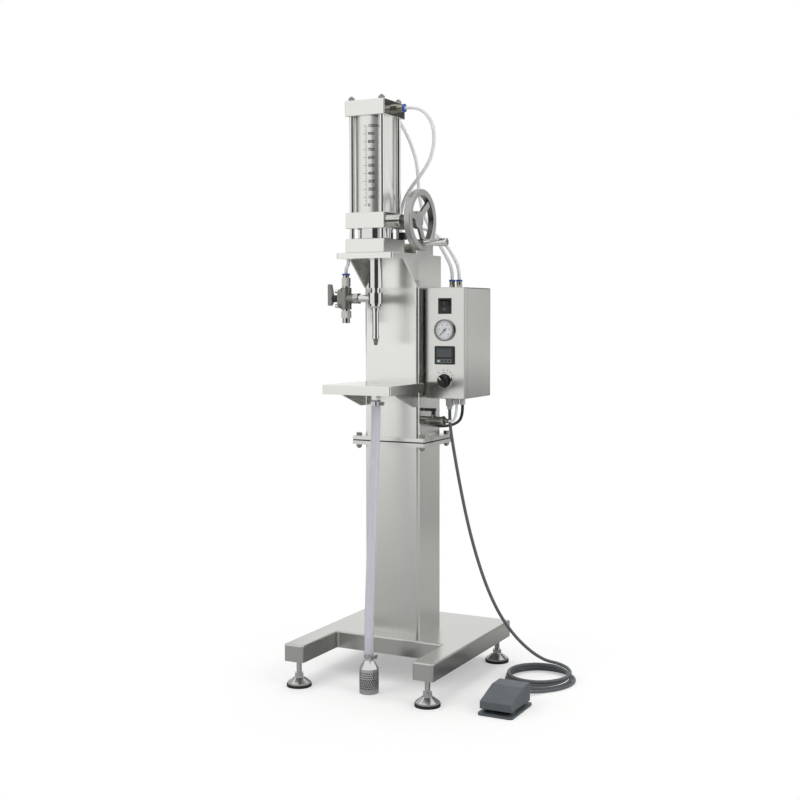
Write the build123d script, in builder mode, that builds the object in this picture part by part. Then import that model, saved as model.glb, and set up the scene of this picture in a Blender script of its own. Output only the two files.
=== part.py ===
from build123d import *
import os
from math import cos, radians, sin, tan

os.makedirs("parts", exist_ok=True)

# All sizes are in millimetres. The origin is on the floor under the column's axis.
# X runs to the machine's right, Y to its rear and Z up.

# Fits
running_gap = 0.05
bolt_gap = 0.2
seat_gap = 0.3

# Column and the flange that joins its two halves
column_width = 140.0
column_depth = 120.0
column_corner = 8.0
column_wall = 3.0
column_top_z = 905.0
flange_seam_z = 551.5
flange_overhang_x = 24.0
flange_overhang_y = 17.0
flange_thickness = 10.0
flange_corner = 3.0
flange_edge = 1.5
flange_bolt_inset = 12.0
flange_bolt_d = 8.0
flange_bolt_across = 13.0
flange_bolt_head = 7.0
flange_nut_height = 6.5
flange_bolt_tail = 3.0

# Base with two forward legs
base_width = 375.0
base_offset_x = 13.5
base_front_shelf = 41.0
base_rear_shelf = 122.0
leg_length = 154.0
leg_width = 50.5
base_bottom_z = 60.5
base_height = 39.5
base_wall = 3.0
base_corner = 6.0
base_edge_round = 4.0

# Levelling feet
foot_inset = 25.0
pad_d = 57.0
pad_height = 6.0
cup_d = 54.0
cup_rim = 4.0
cup_height = 11.0
cup_neck_d = 24.0
foot_hex_across = 19.0
foot_hex_height = 10.0
stem_d = 12.0
stem_grip = 24.0
foot_boss_d = 30.0
locknut_height = 5.0

# Bottle table with its gussets and drain spigot
table_width = 171.0
table_depth = 168.5
table_top_z = 688.0
table_sheet = 3.0
table_lip = 21.0
table_corner = 3.0
table_fold = 1.6
gusset_thickness = 4.0
gusset_length = 112.0
gusset_foot = 22.0
gusset_drop = 55.0
gusset_nose = 24.5
drain_d = 10.0
spigot_nut_across = 20.0
spigot_nut_height = 33.0
barb_d = 13.6
barb_length = 22.0

# Suction hose, its clamps and its strainer
hose_d = 21.0
hose_bore = 15.0
clamp_width = 9.0
clamp_band = 1.2
clamp_lug = 8.0
clamp_screw_d = 6.0
clamp_screw_length = 18.0
clamp_wing_length = 9.0
clamp_wing_thickness = 2.5
clamp_inset = 9.0
strainer_d = 43.5
strainer_body_height = 56.0
strainer_cone_height = 18.0
strainer_neck_d = 22.0
strainer_wall = 1.5
strainer_hole_d = 2.6
strainer_half_turn_holes = 14
strainer_hole_rows = 4
strainer_row_pitch = 5.5
strainer_first_row_z = 14.0
strainer_x = 17.5
strainer_y = -203.0

# Head bracket on top of the column
head_reach = 74.5
bracket_height = 75.0
plate_thickness = 13.0
plate_margin = 4.0
plate_corner = 4.0
plate_edge = 1.0
cheek_thickness = 4.0
cheek_setback = 5.5
web_thickness = 3.0

# Air manifold box behind the cylinder
manifold_inset = 4.0
manifold_gap = 22.0
manifold_depth = 90.0
manifold_height = 24.0
manifold_wall = 3.0
manifold_port_x = 22.0
manifold_port_inset = 8.0

# Measuring cylinder
block_width = 98.0
block_depth = 101.0
block_edge = 2.0
block_chamfer = 1.0
bottom_block_height = 31.0
block_gap = 22.0
middle_block_height = 35.0
tube_length = 210.5
top_block_height = 34.0
tube_d = 92.0
tube_bore = 86.0
seat_depth = 3.0
barrel_d = 80.0
barrel_bore = 60.0
passage_d = 18.0
air_bore = 6.0
rod_d = 12.0
rod_end_d = 8.0
rod_seat = 10.0
rod_inset_x = 11.5
rod_inset_y = 11.0
acorn_across = 14.0
acorn_height = 5.5
acorn_dome = 4.5
acorn_dome_d = 10.0
piston_height = 15.5
ring_height = 3.5
ring_depth = 3.0
ring_inset = 2.5

# Position sensor by the rear right tie rod
sensor_width = 12.0
sensor_depth = 14.0
sensor_height = 16.0

# Handwheel, its spindle and the throttle that it drives
boss_d = 28.0
boss_length = 17.0
spindle_d = 14.0
spindle_thread_d = 10.0
thread_gap = 0.06
throttle_start = 9.5
throttle_length = 30.0
throttle_face = 3.0
throttle_play = 0.5
wheel_x = 112.0
wheel_d = 134.0
rim_width = 16.0
rim_radial = 14.5
rim_round = 3.0
hub_d = 39.0
hub_recess = 10.0
hub_length = 10.0
spoke_width = 15.0
spoke_thickness = 5.5
spoke_count = 3
spoke_angle = 46.0
spoke_dish = 6.0
spoke_root = 5.0
crank_radius = 50.0
crank_boss_d = 16.0
crank_boss = 2.0
crank_stud_d = 8.0
grip_length = 55.0
grip_root_d = 12.0
grip_end_d = 19.0
grip_cap = 6.0
grip_round = 2.5
grip_groove_back = 7.0
grip_groove_width = 1.2
grip_groove_depth = 0.7

# Nozzle, from the plate downwards
nozzle_pipe_d = 31.0
nozzle_pipe_length = 64.5
nozzle_neck_d = 21.0
nozzle_neck = 11.0
nozzle_body_d = 33.5
nozzle_body_height = 24.0
nozzle_collar_d = 26.0
nozzle_collar = 9.5
nozzle_collar_round = 4.0
nozzle_step_d = 18.0
nozzle_step = 7.0
nozzle_bore = 12.0
nozzle_tube_d = 14.4
nozzle_tube = 55.0
nozzle_ring_d = 15.6
nozzle_ring = 6.8
nozzle_tip_length = 14.7
nozzle_tip_top_d = 13.0
nozzle_tip_end_d = 7.0
nozzle_outlet_d = 4.5
nozzle_feed_d = 9.0

# Product valve beside the nozzle
valve_reach = 76.0
valve_body_d = 24.6
valve_body_half = 24.5
valve_arm_d = 22.0
valve_arm = 22.0
side_pipe_d = 17.0
side_bore = 8.0
union_across = 23.0
union_length = 12.0
bonnet_seat = 0.5
bonnet_thickness = 4.0
bonnet_height = 44.0
bonnet_width = 24.0
bonnet_screw_spacing = 33.0
bonnet_screw_d = 9.0
bonnet_screw_head = 11.0
plug_d = 16.0
plug_half = 10.0
valve_stem_d = 10.0
valve_collar_d = 16.4
valve_collar = 17.0
handle_height = 49.0
handle_depth = 12.0
handle_hub = 11.0
handle_middle = 13.0
handle_tip = 6.0
handle_round = 2.4
handle_rise = 8.5
valve_neck_d = 17.0
valve_neck = 3.5
top_nut_across = 20.0
top_nut = 19.0
top_neck_d = 14.0
top_neck = 5.5
bottom_nut_across = 23.0
bottom_nut = 16.0
outlet_d = 17.0
outlet_length = 11.5

# Push-in air fittings and tubes
air_tube_d = 8.0
valve_tube_d = 6.0
supply_hose_d = 7.0
fitting_across = 13.0
fitting_hex = 6.0
fitting_body_d = 13.0
fitting_body = 8.0
collar_d = 15.0
collar_height = 4.0
large_across = 17.0
large_hex = 8.0
large_body_d = 16.0
large_body = 14.0
large_collar_d = 18.0
top_rear_port_x = 0.0
middle_rear_port_x = -22.0
box_port_setback = 34.5
box_port_pitch = 17.7
box_port_shift = 3.65
elbow_x = 8.0
elbow_rise = 25.5
elbow_size = 16.0
elbow_depth = 20.0
elbow_port_d = 12.0
elbow_port_y = 11.0
elbow_port = 8.0
valve_air_side = 10.5
valve_air_forward = 8.0

# Control box
box_gap = 4.2
box_width = 98.0
box_height = 254.0
box_setback = 28.5
box_depth = 149.0
box_wall = 2.0
box_corner = 3.0
box_seam = 0.8
cover_round = 1.5
cover_depth = 17.0
spacer_d = 16.0
spacer_inset = 40.0

# Rocker switch
rocker_drop = 42.5
bezel_rim = 3.5
bezel_proud = 2.0
bezel_depth = 22.0
rocker_width = 24.0
rocker_height = 26.0
rocker_room = 1.5
rocker_side_room = 0.5
rocker_axle_depth = 4.0
rocker_axle_d = 4.0
rocker_axle_end = 2.0
rocker_crown = 9.0
rocker_waist = 6.5
rocker_back = 7.0
rocker_back_height = 16.0
rocker_tilt = 8.0

# Pressure gauge
gauge_drop = 97.5
gauge_d = 50.0
gauge_proud = 6.0
gauge_rim = 3.0
gauge_body_d = 42.0
gauge_body_depth = 24.0
gauge_recess = 5.0
lens_thickness = 1.5
needle_length = 16.0
needle_tail = 7.0
needle_width = 1.8
needle_thickness = 0.8
needle_hub_d = 6.0
needle_post_d = 2.0
needle_lift = 1.0
needle_angle = 225.0
gauge_stub_d = 12.0
gauge_stub = 14.0

# Timer
timer_drop = 154.5
timer_width = 48.0
timer_height = 42.0
timer_proud = 4.0
timer_rim = 2.0
timer_depth = 60.0
timer_window_width = 38.0
timer_window_height = 20.0
timer_window_depth = 1.0
timer_window_rise = 6.0
timer_key_width = 6.0
timer_key_height = 4.5
timer_key_proud = 0.8
timer_key_pitch = 9.0
timer_key_fall = 13.0

# Selector switch
knob_drop = 212.0
knob_ring_d = 36.0
knob_ring = 2.5
knob_ring_edge = 1.2
knob_skirt_d = 30.0
knob_skirt = 5.0
knob_d = 26.0
knob_height = 8.0
knob_ridge_width = 8.0
knob_ridge = 6.0
knob_angle = 130.0
knob_shaft_d = 6.0
knob_shaft = 16.0

# Solenoid valve inside the control box
solenoid_drop = 150.0
solenoid_width = 60.0
solenoid_depth = 30.0
solenoid_height = 36.0
solenoid_coil_width = 28.0
solenoid_coil_height = 34.0

# Glands under the control box
gland_inset = 10.0
gland_d = 19.4
gland_hex_across = 17.0
gland_flange = 5.0
gland_cap = 13.0
gland_mouth = 7.0
gland_mouth_d = 12.0
port_d = 12.6
port_height = 14.0
port_1_offset = 17.4
port_2_offset = 32.4

# Ball valve on the column's right side
ball_valve_y = -29.0
ball_valve_rise = 48.5
ball_body_d = 19.0
ball_body = 46.0
ball_groove_start = 18.0
ball_groove_pitch = 4.6
ball_groove_width = 2.0
ball_groove_depth = 1.3
ball_groove_count = 5
ball_nut_across = 19.0
ball_nut = 6.0
ball_port_d = 11.0
ball_port = 10.0
lever_stem_at = 23.5
lever_stem_d = 6.0
lever_bonnet_d = 12.0
lever_bonnet_rise = 14.0
lever_boss_d = 10.0
lever_rise = 21.5
lever_socket = 6.0
lever_thickness = 6.5
lever_width = 11.0
lever_length = 20.0
lever_hub_d = 13.0

# Foot pedal on the floor
pedal_x = 336.0
pedal_front_y = -240.0
pedal_width = 80.0
pedal_length = 120.0
pedal_plate = 5.0
pedal_corner = 8.0
treadle_width = 72.0
treadle_margin = 5.0
treadle_wall = 3.0
treadle_front_bottom = 14.0
treadle_front_top = 30.0
treadle_top = 50.0
treadle_slope = 67.0
treadle_rear_bottom = 10.8
treadle_round = 2.0
pedal_pin_back = 29.0
pedal_pin_z = 19.0
pedal_pin_d = 6.0
ear_thickness = 6.0
ear_length = 16.0
ear_crown = 6.0
switch_width = 14.0
switch_length = 30.0
switch_height = 22.0
switch_back = 46.0
plunger_d = 5.0
plunger = 4.0
spring_d = 12.0
spring_bore = 8.0
spring_back = 92.0
relief_width = 12.0
relief_length = 14.0
relief_height = 13.5
relief_z = 12.5
relief_d = 11.0
relief_reach = 9.0
notch_room = 2.0
notch_top = 26.0

# Pedal cable
cable_d = 7.5
coil_x = 328.5
coil_y = 54.0
coil_inner_r = 60.0
coil_outer_r = 82.0
coil_height = 16.0
coil_round = 6.0
coil_landing_angle = 73.2
coil_leaving_angle = -40.0

# Places that follow from the sizes
base_top_z = base_bottom_z + base_height
column_front = -column_depth / 2
column_rear = column_depth / 2
column_side = column_width / 2
flange_width = column_width + 2 * flange_overhang_x
flange_depth = column_depth + 2 * flange_overhang_y
base_inner_y = column_front - base_front_shelf
base_front_y = base_inner_y - leg_length
base_rear_y = column_rear + base_rear_shelf
base_left = base_offset_x - base_width / 2
base_right = base_offset_x + base_width / 2
head_y = column_front - head_reach
plate_top_z = column_top_z + bracket_height
plate_bottom_z = plate_top_z - plate_thickness
plate_front = head_y - block_depth / 2 - plate_margin
bottom_top_z = plate_top_z + bottom_block_height
middle_z = bottom_top_z + block_gap
middle_top_z = middle_z + middle_block_height
top_z = middle_top_z + tube_length
top_top_z = top_z + top_block_height
wheel_z = middle_z + middle_block_height / 2
port_z = top_z + top_block_height / 2
block_right = block_width / 2
block_rear = head_y + block_depth / 2
rod_x = block_width / 2 - rod_inset_x
rod_y = block_depth / 2 - rod_inset_y
manifold_front = block_rear + manifold_gap
manifold_top_z = plate_top_z + manifold_height
box_left = column_side + box_gap
box_right = box_left + box_width
box_middle = (box_left + box_right) / 2
box_top_z = column_top_z
box_bottom_z = box_top_z - box_height
box_front = column_front + box_setback
box_rear = box_front + box_depth
cover_rear = box_front + cover_depth
nozzle_neck_z = plate_bottom_z - nozzle_pipe_length
nozzle_body_z = nozzle_neck_z - nozzle_neck
nozzle_collar_z = nozzle_body_z - nozzle_body_height
nozzle_step_z = nozzle_collar_z - nozzle_collar
nozzle_tube_z = nozzle_step_z - nozzle_step
nozzle_ring_z = nozzle_tube_z - nozzle_tube
nozzle_tip_z = nozzle_ring_z - nozzle_ring
nozzle_end_z = nozzle_tip_z - nozzle_tip_length
valve_z = (nozzle_body_z + nozzle_collar_z) / 2
valve_x = -valve_reach
valve_arm_end = valve_x + valve_arm
bonnet_start = valve_body_d / 2 + bonnet_seat
bonnet_x = valve_x - bonnet_start
bonnet_left = bonnet_x - bonnet_thickness
handle_x = bonnet_left - seat_gap - valve_collar
valve_top_z = valve_z + valve_body_half
valve_bottom_z = valve_z - valve_body_half
spigot_bottom = table_top_z - table_sheet - spigot_nut_height
boss_end = block_right + boss_length
throttle_end = throttle_start + throttle_length
rim_front = wheel_x + rim_width / 2
hub_end = rim_front - hub_recess
hub_start = hub_end - hub_length
spoke_start = hub_end - spoke_thickness
crank_z = wheel_z - crank_radius
grip_start = rim_front + crank_boss + seat_gap
grip_end = grip_start + grip_length
grip_groove_end = grip_end - grip_groove_back
grip_groove_start = grip_groove_end - grip_groove_width
ball_valve_z = flange_seam_z + ball_valve_rise
lever_x = column_side + lever_stem_at
lever_bonnet_z = ball_valve_z + lever_bonnet_rise
lever_boss_z = lever_bonnet_z + seat_gap
lever_z = ball_valve_z + lever_rise
gland_y = cover_rear + gland_inset
gland_cap_z = box_bottom_z - gland_flange
gland_mouth_z = gland_cap_z - gland_cap
gland_end_z = gland_mouth_z - gland_mouth
port_end_z = box_bottom_z - port_height
small_fitting = fitting_hex + fitting_body + collar_height
large_fitting = large_hex + large_body + collar_height
box_port_x = box_middle + box_port_shift
box_port_y = cover_rear + box_port_setback
elbow_z = flange_seam_z + elbow_rise
top_nut_z = valve_top_z + valve_neck
collar_seat_z = top_nut_z + top_nut + top_neck
strainer_top_z = strainer_body_height + strainer_cone_height
coil_middle_r = (coil_inner_r + coil_outer_r) / 2
coil_tangent_r = coil_outer_r + cable_d / 2 + seat_gap
pedal_rear_y = pedal_front_y + pedal_length
treadle_front_y = pedal_front_y + treadle_margin
treadle_rear_y = pedal_rear_y - treadle_margin
pedal_pin_y = pedal_front_y + pedal_pin_back
signs = [(-1, -1), (1, -1), (-1, 1), (1, 1)]
rod_points = [(sx * rod_x, head_y + sy * rod_y) for sx, sy in signs]
flange_points = [
    (sx * (flange_width / 2 - flange_bolt_inset), sy * (flange_depth / 2 - flange_bolt_inset))
    for sx, sy in signs
]
foot_points = [
    (base_left + foot_inset, base_front_y + foot_inset),
    (base_right - foot_inset, base_front_y + foot_inset),
    (base_left + foot_inset, base_rear_y - foot_inset),
    (base_right - foot_inset, base_rear_y - foot_inset),
]
base_corners = [
    (base_left, base_front_y),
    (base_left + leg_width, base_front_y),
    (base_left + leg_width, base_inner_y),
    (base_right - leg_width, base_inner_y),
    (base_right - leg_width, base_front_y),
    (base_right, base_front_y),
    (base_right, base_rear_y),
    (base_left, base_rear_y),
]


def fit_route(start, end, shape):
    """Move a route's points so that its ends meet start and end, its inner points in proportion."""
    start_shift = Vector(*start) - Vector(*shape[0])
    end_shift = Vector(*end) - Vector(*shape[-1])
    inner_steps = len(shape) - 3
    fitted = []
    for index, point in enumerate(shape):
        share = min(max((index - 1) / inner_steps, 0), 1)
        fitted.append(tuple(Vector(*point) + start_shift * (1 - share) + end_shift * share))
    return fitted


def coil_point(radius, angle):
    """Place on the floor at a radius and an angle from the middle of the cable's coil."""
    return coil_x + radius * cos(radians(angle)), coil_y + radius * sin(radians(angle))


# Routes of the tubes, the hose and the cable: both ends, and the points of the shape between them
top_air_route = fit_route(
    (block_right + large_fitting, head_y, port_z),
    (manifold_port_x, manifold_front + manifold_port_inset, manifold_top_z + small_fitting),
    [
        (75.0, -134.5, 1295.5), (98.0, -134.5, 1295.5), (118.5, -132.8, 1286.5), (134.0, -129.8, 1268.5),
        (141.5, -126.0, 1242.0), (138.5, -121.5, 1210.5), (126.0, -115.5, 1180.0), (104.0, -109.0, 1155.0),
        (79.0, -101.0, 1133.0), (57.0, -91.5, 1112.0), (41.5, -80.5, 1093.0), (31.0, -69.5, 1074.0),
        (24.5, -60.0, 1056.0), (22.0, -54.0, 1040.0), (22.0, -54.0, 1022.0),
    ],
)
box_air_route_1 = fit_route(
    (top_rear_port_x, block_rear + small_fitting, port_z),
    (box_port_x - box_port_pitch / 2, box_port_y, box_top_z + small_fitting),
    [
        (0.0, -66.0, 1295.5), (0.0, -44.0, 1295.5), (0.6, -22.0, 1289.0), (2.5, -4.0, 1276.0),
        (9.0, 7.0, 1257.0), (20.0, 9.0, 1231.0), (31.0, 8.0, 1200.0), (37.5, 5.0, 1166.0),
        (40.0, 3.0, 1131.0), (46.0, 2.0, 1096.0), (58.0, 2.5, 1062.0), (76.0, 4.0, 1029.0),
        (95.0, 8.0, 998.0), (110.0, 14.0, 970.0), (118.0, 20.0, 945.0), (118.0, 20.0, 923.0),
    ],
)
box_air_route_2 = fit_route(
    (middle_rear_port_x, block_rear + small_fitting, wheel_z),
    (box_port_x + box_port_pitch / 2, box_port_y, box_top_z + small_fitting),
    [
        (-22.0, -66.0, 1050.5), (-22.0, -43.0, 1050.5), (-13.0, -16.0, 1051.5), (9.0, 9.0, 1051.0),
        (41.0, 22.0, 1045.0), (75.0, 24.0, 1029.0), (103.0, 20.0, 1003.0), (124.0, 18.0, 974.0),
        (135.7, 20.0, 947.0), (135.7, 20.0, 923.0),
    ],
)
valve_air_route = fit_route(
    (valve_x, head_y, collar_seat_z + collar_height),
    (valve_x + valve_air_side, head_y - valve_air_forward, plate_bottom_z),
    [
        (-76.0, -134.5, 936.0), (-76.0, -134.5, 946.5), (-65.0, -136.0, 957.0), (-65.0, -136.0, 967.0),
    ],
)
valve_tube_route = fit_route(
    (box_middle + port_1_offset, gland_y, port_end_z),
    (column_side + ball_body + ball_nut + ball_port, ball_valve_y, ball_valve_z),
    [
        (140.6, -4.5, 637.0), (140.6, -4.5, 629.0), (142.0, -7.5, 621.5), (144.5, -13.5, 614.0),
        (146.0, -20.5, 607.5), (145.0, -26.5, 602.0), (140.0, -29.0, 600.0), (132.0, -29.0, 600.0),
    ],
)
supply_route = fit_route(
    (box_middle + port_2_offset, gland_y, port_end_z),
    (elbow_x + elbow_size / 2 + elbow_port, column_rear + elbow_port_y, elbow_z),
    [
        (155.6, -4.5, 637.0), (155.6, -4.5, 624.0), (151.8, -0.4, 611.0), (143.2, 8.4, 599.8),
        (127.0, 23.2, 591.0), (103.0, 44.2, 583.3), (74.0, 64.5, 578.5),
        (46.0, 71.0, 577.0), (24.0, 71.0, 577.0),
    ],
)
cable_route = fit_route(
    (box_middle, gland_y, gland_end_z),
    (*coil_point(coil_middle_r, coil_landing_angle), coil_height + cable_d / 2 + seat_gap),
    [
        (123.2, -4.5, 626.0), (123.2, -4.5, 592.0), (131.5, -2.0, 536.0), (142.0, 3.5, 468.0),
        (153.5, 10.0, 400.0), (167.0, 18.0, 331.0), (183.0, 28.0, 264.0), (203.5, 40.5, 201.0),
        (230.0, 57.0, 143.0), (263.0, 77.0, 92.0), (299.0, 98.5, 53.0),
        (326.0, 115.5, 29.0), (349.0, 122.0, 20.2),
    ],
)
tail_route = fit_route(
    (*coil_point(coil_tangent_r, coil_leaving_angle), cable_d / 2 + seat_gap),
    (pedal_x, pedal_rear_y + relief_reach, relief_z),
    [
        (394.4, -1.3, 4.2), (379.0, -20.5, 4.2), (360.0, -43.0, 5.0), (345.0, -66.0, 8.5),
        (336.0, -89.0, 12.5), (336.0, -111.0, 12.5),
    ],
)
hose_route = fit_route(
    (0, head_y, spigot_bottom),
    (strainer_x, strainer_y, strainer_top_z),
    [
        (0.0, -134.5, 652.0), (0.0, -134.5, 604.0), (-1.0, -140.0, 520.0), (-0.2, -150.0, 420.0),
        (3.8, -166.0, 300.0), (9.0, -184.0, 196.0), (17.5, -203.0, 116.0), (17.5, -203.0, 74.0),
    ],
)


def corner_radii(route):
    """Largest arc that the two runs at each corner of a route leave room for."""
    points = [Vector(*point) for point in route]
    radii = []
    for before, corner, after in zip(points, points[1:], points[2:]):
        turn = (corner - before).get_angle(after - corner)
        shorter = min((corner - before).length, (after - corner).length)
        radii.append(0.45 * shorter / tan(radians(turn) / 2))
    return radii


def report_cord(name, path, solid, section):
    """Print a cord's volume against its section times its length."""
    length = sum(edge.length for edge in path.edges())
    print(name, "volume", round(solid.volume), "section times length", round(section * length))


def print_radii(name, route, diameter):
    """Print the bend radii of a route, in diameters."""
    bends = [round(radius / diameter, 1) for radius in corner_radii(route)]
    print(name, "bend radii in diameters", bends)


def wheel_plane(x):
    """Plane across the spindle at x, with its own x along Y and its own y along Z."""
    return Plane(origin=(x, head_y, wheel_z), x_dir=(0, 1, 0), z_dir=(1, 0, 0))


def valve_plane(x):
    """Plane across the product valve's stem at x, with its own x along Y and its own y along Z."""
    return Plane(origin=(x, head_y, valve_z), x_dir=(0, 1, 0), z_dir=(1, 0, 0))


def panel_plane(drop, proud):
    """Plane in front of the cover, facing forwards, at a drop below the box's top."""
    return Plane(
        origin=(box_middle, box_front - proud, box_top_z - drop), x_dir=(1, 0, 0), z_dir=(0, -1, 0)
    )


# Base: a folded pan, open below, with a boss over each foot
with BuildPart() as base_frame:
    with BuildSketch(Plane.XY.offset(base_bottom_z)) as base_outline:
        with BuildLine():
            Polyline(*base_corners, close=True)
        make_face()
        fillet(base_outline.vertices(), base_corner)
    extrude(amount=base_height)
    fillet(base_frame.faces().sort_by(Axis.Z)[-1].edges(), base_edge_round)
    with BuildSketch(Plane.XY.offset(base_bottom_z)) as base_hollow:
        with BuildLine():
            Polyline(*base_corners, close=True)
        make_face()
        fillet(base_hollow.vertices(), base_corner)
        offset(amount=-base_wall, mode=Mode.REPLACE)
    extrude(amount=base_height - base_wall, mode=Mode.SUBTRACT)
    with BuildSketch(Plane.XY.offset(base_bottom_z)):
        with Locations(*foot_points):
            Circle(foot_boss_d / 2)
    extrude(amount=base_height - base_wall / 2)
    with BuildSketch(Plane.XY.offset(base_bottom_z)):
        with Locations(*foot_points):
            Circle(stem_d / 2 + running_gap)
    extrude(amount=stem_grip + seat_gap, mode=Mode.SUBTRACT)
base_frame.part.label = "base_frame"
export_step(base_frame.part, "parts/base_frame.step")

# Rubber pads under the feet
with BuildPart() as foot_pads:
    with BuildSketch(Plane.XY):
        with Locations(*foot_points):
            Circle(pad_d / 2)
    extrude(amount=pad_height)
foot_pads.part.label = "foot_pads"
export_step(foot_pads.part, "parts/foot_pads.step")

# Levelling feet: cup, hexagon and stem in one piece, with a locknut under the base
foot_hex_z = pad_height + cup_rim + cup_height
stem_start = foot_hex_z + foot_hex_height
with BuildPart() as levelling_feet:
    with BuildSketch(Plane.XY.offset(pad_height)):
        with Locations(*foot_points):
            Circle(cup_d / 2)
    extrude(amount=cup_rim)
    with Locations(*[(x, y, pad_height + cup_rim) for x, y in foot_points]):
        Cone(cup_d / 2, cup_neck_d / 2, cup_height, align=(Align.CENTER, Align.CENTER, Align.MIN))
    with BuildSketch(Plane.XY.offset(foot_hex_z)):
        with Locations(*foot_points):
            RegularPolygon(foot_hex_across / 2, 6, major_radius=False)
    extrude(amount=foot_hex_height)
    with BuildSketch(Plane.XY.offset(stem_start)):
        with Locations(*foot_points):
            Circle(stem_d / 2)
    extrude(amount=base_bottom_z + stem_grip - stem_start)
    with BuildSketch(Plane.XY.offset(base_bottom_z)):
        with Locations(*foot_points):
            RegularPolygon(foot_hex_across / 2, 6, major_radius=False)
    extrude(amount=-locknut_height)
levelling_feet.part.label = "levelling_feet"
export_step(levelling_feet.part, "parts/levelling_feet.step")

# Lower half of the column with its flange
column_bore = (column_width - 2 * column_wall, column_depth - 2 * column_wall)
column_bore_corner = max(column_corner - column_wall, column_wall / 2)
with BuildPart() as lower_column:
    with BuildSketch(Plane.XY.offset(base_top_z)):
        RectangleRounded(column_width, column_depth, column_corner)
    extrude(amount=flange_seam_z - base_top_z)
    with BuildSketch(Plane.XY.offset(flange_seam_z)):
        RectangleRounded(flange_width, flange_depth, flange_corner)
    extrude(amount=-flange_thickness)
    chamfer(lower_column.faces().sort_by(Axis.Z)[-1].outer_wire().edges(), flange_edge)
    with BuildSketch(Plane.XY.offset(base_top_z)):
        RectangleRounded(*column_bore, column_bore_corner)
    extrude(amount=flange_seam_z - base_top_z, mode=Mode.SUBTRACT)
    with BuildSketch(Plane.XY.offset(flange_seam_z)):
        with Locations(*flange_points):
            Circle(flange_bolt_d / 2 + bolt_gap)
    extrude(amount=-flange_thickness, mode=Mode.SUBTRACT)
lower_column.part.label = "lower_column"
export_step(lower_column.part, "parts/lower_column.step")

# Upper half of the column with its flange
with BuildPart() as upper_column:
    with BuildSketch(Plane.XY.offset(flange_seam_z)):
        RectangleRounded(column_width, column_depth, column_corner)
    extrude(amount=column_top_z - flange_seam_z)
    with BuildSketch(Plane.XY.offset(flange_seam_z)):
        RectangleRounded(flange_width, flange_depth, flange_corner)
    extrude(amount=flange_thickness)
    chamfer(upper_column.faces().sort_by(Axis.Z)[0].outer_wire().edges(), flange_edge)
    with BuildSketch(Plane.XY.offset(flange_seam_z)):
        RectangleRounded(*column_bore, column_bore_corner)
    extrude(amount=column_top_z - flange_seam_z, mode=Mode.SUBTRACT)
    with BuildSketch(Plane.XY.offset(flange_seam_z)):
        with Locations(*flange_points):
            Circle(flange_bolt_d / 2 + bolt_gap)
    extrude(amount=flange_thickness, mode=Mode.SUBTRACT)
upper_column.part.label = "upper_column"
export_step(upper_column.part, "parts/upper_column.step")

# Flange bolts with their nuts
bolt_head_z = flange_seam_z + flange_thickness
bolt_nut_z = flange_seam_z - flange_thickness
with BuildPart() as flange_bolts:
    with BuildSketch(Plane.XY.offset(bolt_head_z)):
        with Locations(*flange_points):
            RegularPolygon(flange_bolt_across / 2, 6, major_radius=False)
    extrude(amount=flange_bolt_head)
    with BuildSketch(Plane.XY.offset(bolt_head_z)):
        with Locations(*flange_points):
            Circle(flange_bolt_d / 2)
    extrude(amount=bolt_nut_z - bolt_head_z - flange_nut_height - flange_bolt_tail)
    with BuildSketch(Plane.XY.offset(bolt_nut_z)):
        with Locations(*flange_points):
            RegularPolygon(flange_bolt_across / 2, 6, major_radius=False)
    extrude(amount=-flange_nut_height)
flange_bolts.part.label = "flange_bolts"
export_step(flange_bolts.part, "parts/flange_bolts.step")

# Head bracket: thick top plate on two cheeks and two webs
with BuildPart() as head_bracket:
    with BuildSketch(Plane.XY.offset(plate_bottom_z)) as plate_outline:
        with Locations((0, (plate_front + column_rear) / 2)):
            Rectangle(column_width, column_rear - plate_front)
        fillet(plate_outline.vertices().group_by(Axis.Y)[0], plate_corner)
    extrude(amount=plate_thickness)
    chamfer(head_bracket.edges().group_by(Axis.Z)[-1], plate_edge)
    for cheek_x in (column_side - cheek_thickness, -column_side):
        with BuildSketch(Plane.YZ.offset(cheek_x)):
            with BuildLine():
                Polyline(
                    (head_y + cheek_setback, plate_bottom_z),
                    (column_front, column_top_z),
                    (column_rear, column_top_z),
                    (column_rear, plate_bottom_z),
                    close=True,
                )
            make_face()
        extrude(amount=cheek_thickness)
    for web_y in (column_front + web_thickness / 2, column_rear - web_thickness / 2):
        with BuildSketch(Plane.XY.offset(column_top_z)):
            with Locations((0, web_y)):
                Rectangle(column_width - 2 * cheek_thickness, web_thickness)
        extrude(amount=plate_bottom_z - column_top_z)
    with BuildSketch(Plane.XY.offset(plate_bottom_z)):
        with Locations((0, head_y)):
            Circle(passage_d / 2)
    extrude(amount=plate_thickness, mode=Mode.SUBTRACT)
    with BuildSketch(Plane.XY.offset(plate_top_z)):
        with Locations(*rod_points):
            Circle(rod_d / 2 + running_gap)
    extrude(amount=-rod_seat, mode=Mode.SUBTRACT)
head_bracket.part.label = "head_bracket"
export_step(head_bracket.part, "parts/head_bracket.step")

# Air manifold box on the plate, behind the cylinder
manifold_width = column_width - 2 * manifold_inset
with BuildPart() as manifold_box:
    with BuildSketch(Plane.XY.offset(plate_top_z)):
        with Locations((0, manifold_front + manifold_depth / 2)):
            RectangleRounded(manifold_width, manifold_depth, manifold_wall)
    extrude(amount=manifold_height)
    with BuildSketch(Plane.XY.offset(plate_top_z)):
        with Locations((0, manifold_front + manifold_depth / 2)):
            Rectangle(manifold_width - 2 * manifold_wall, manifold_depth - 2 * manifold_wall)
    extrude(amount=manifold_height - manifold_wall, mode=Mode.SUBTRACT)
manifold_box.part.label = "manifold_box"
export_step(manifold_box.part, "parts/manifold_box.step")

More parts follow.
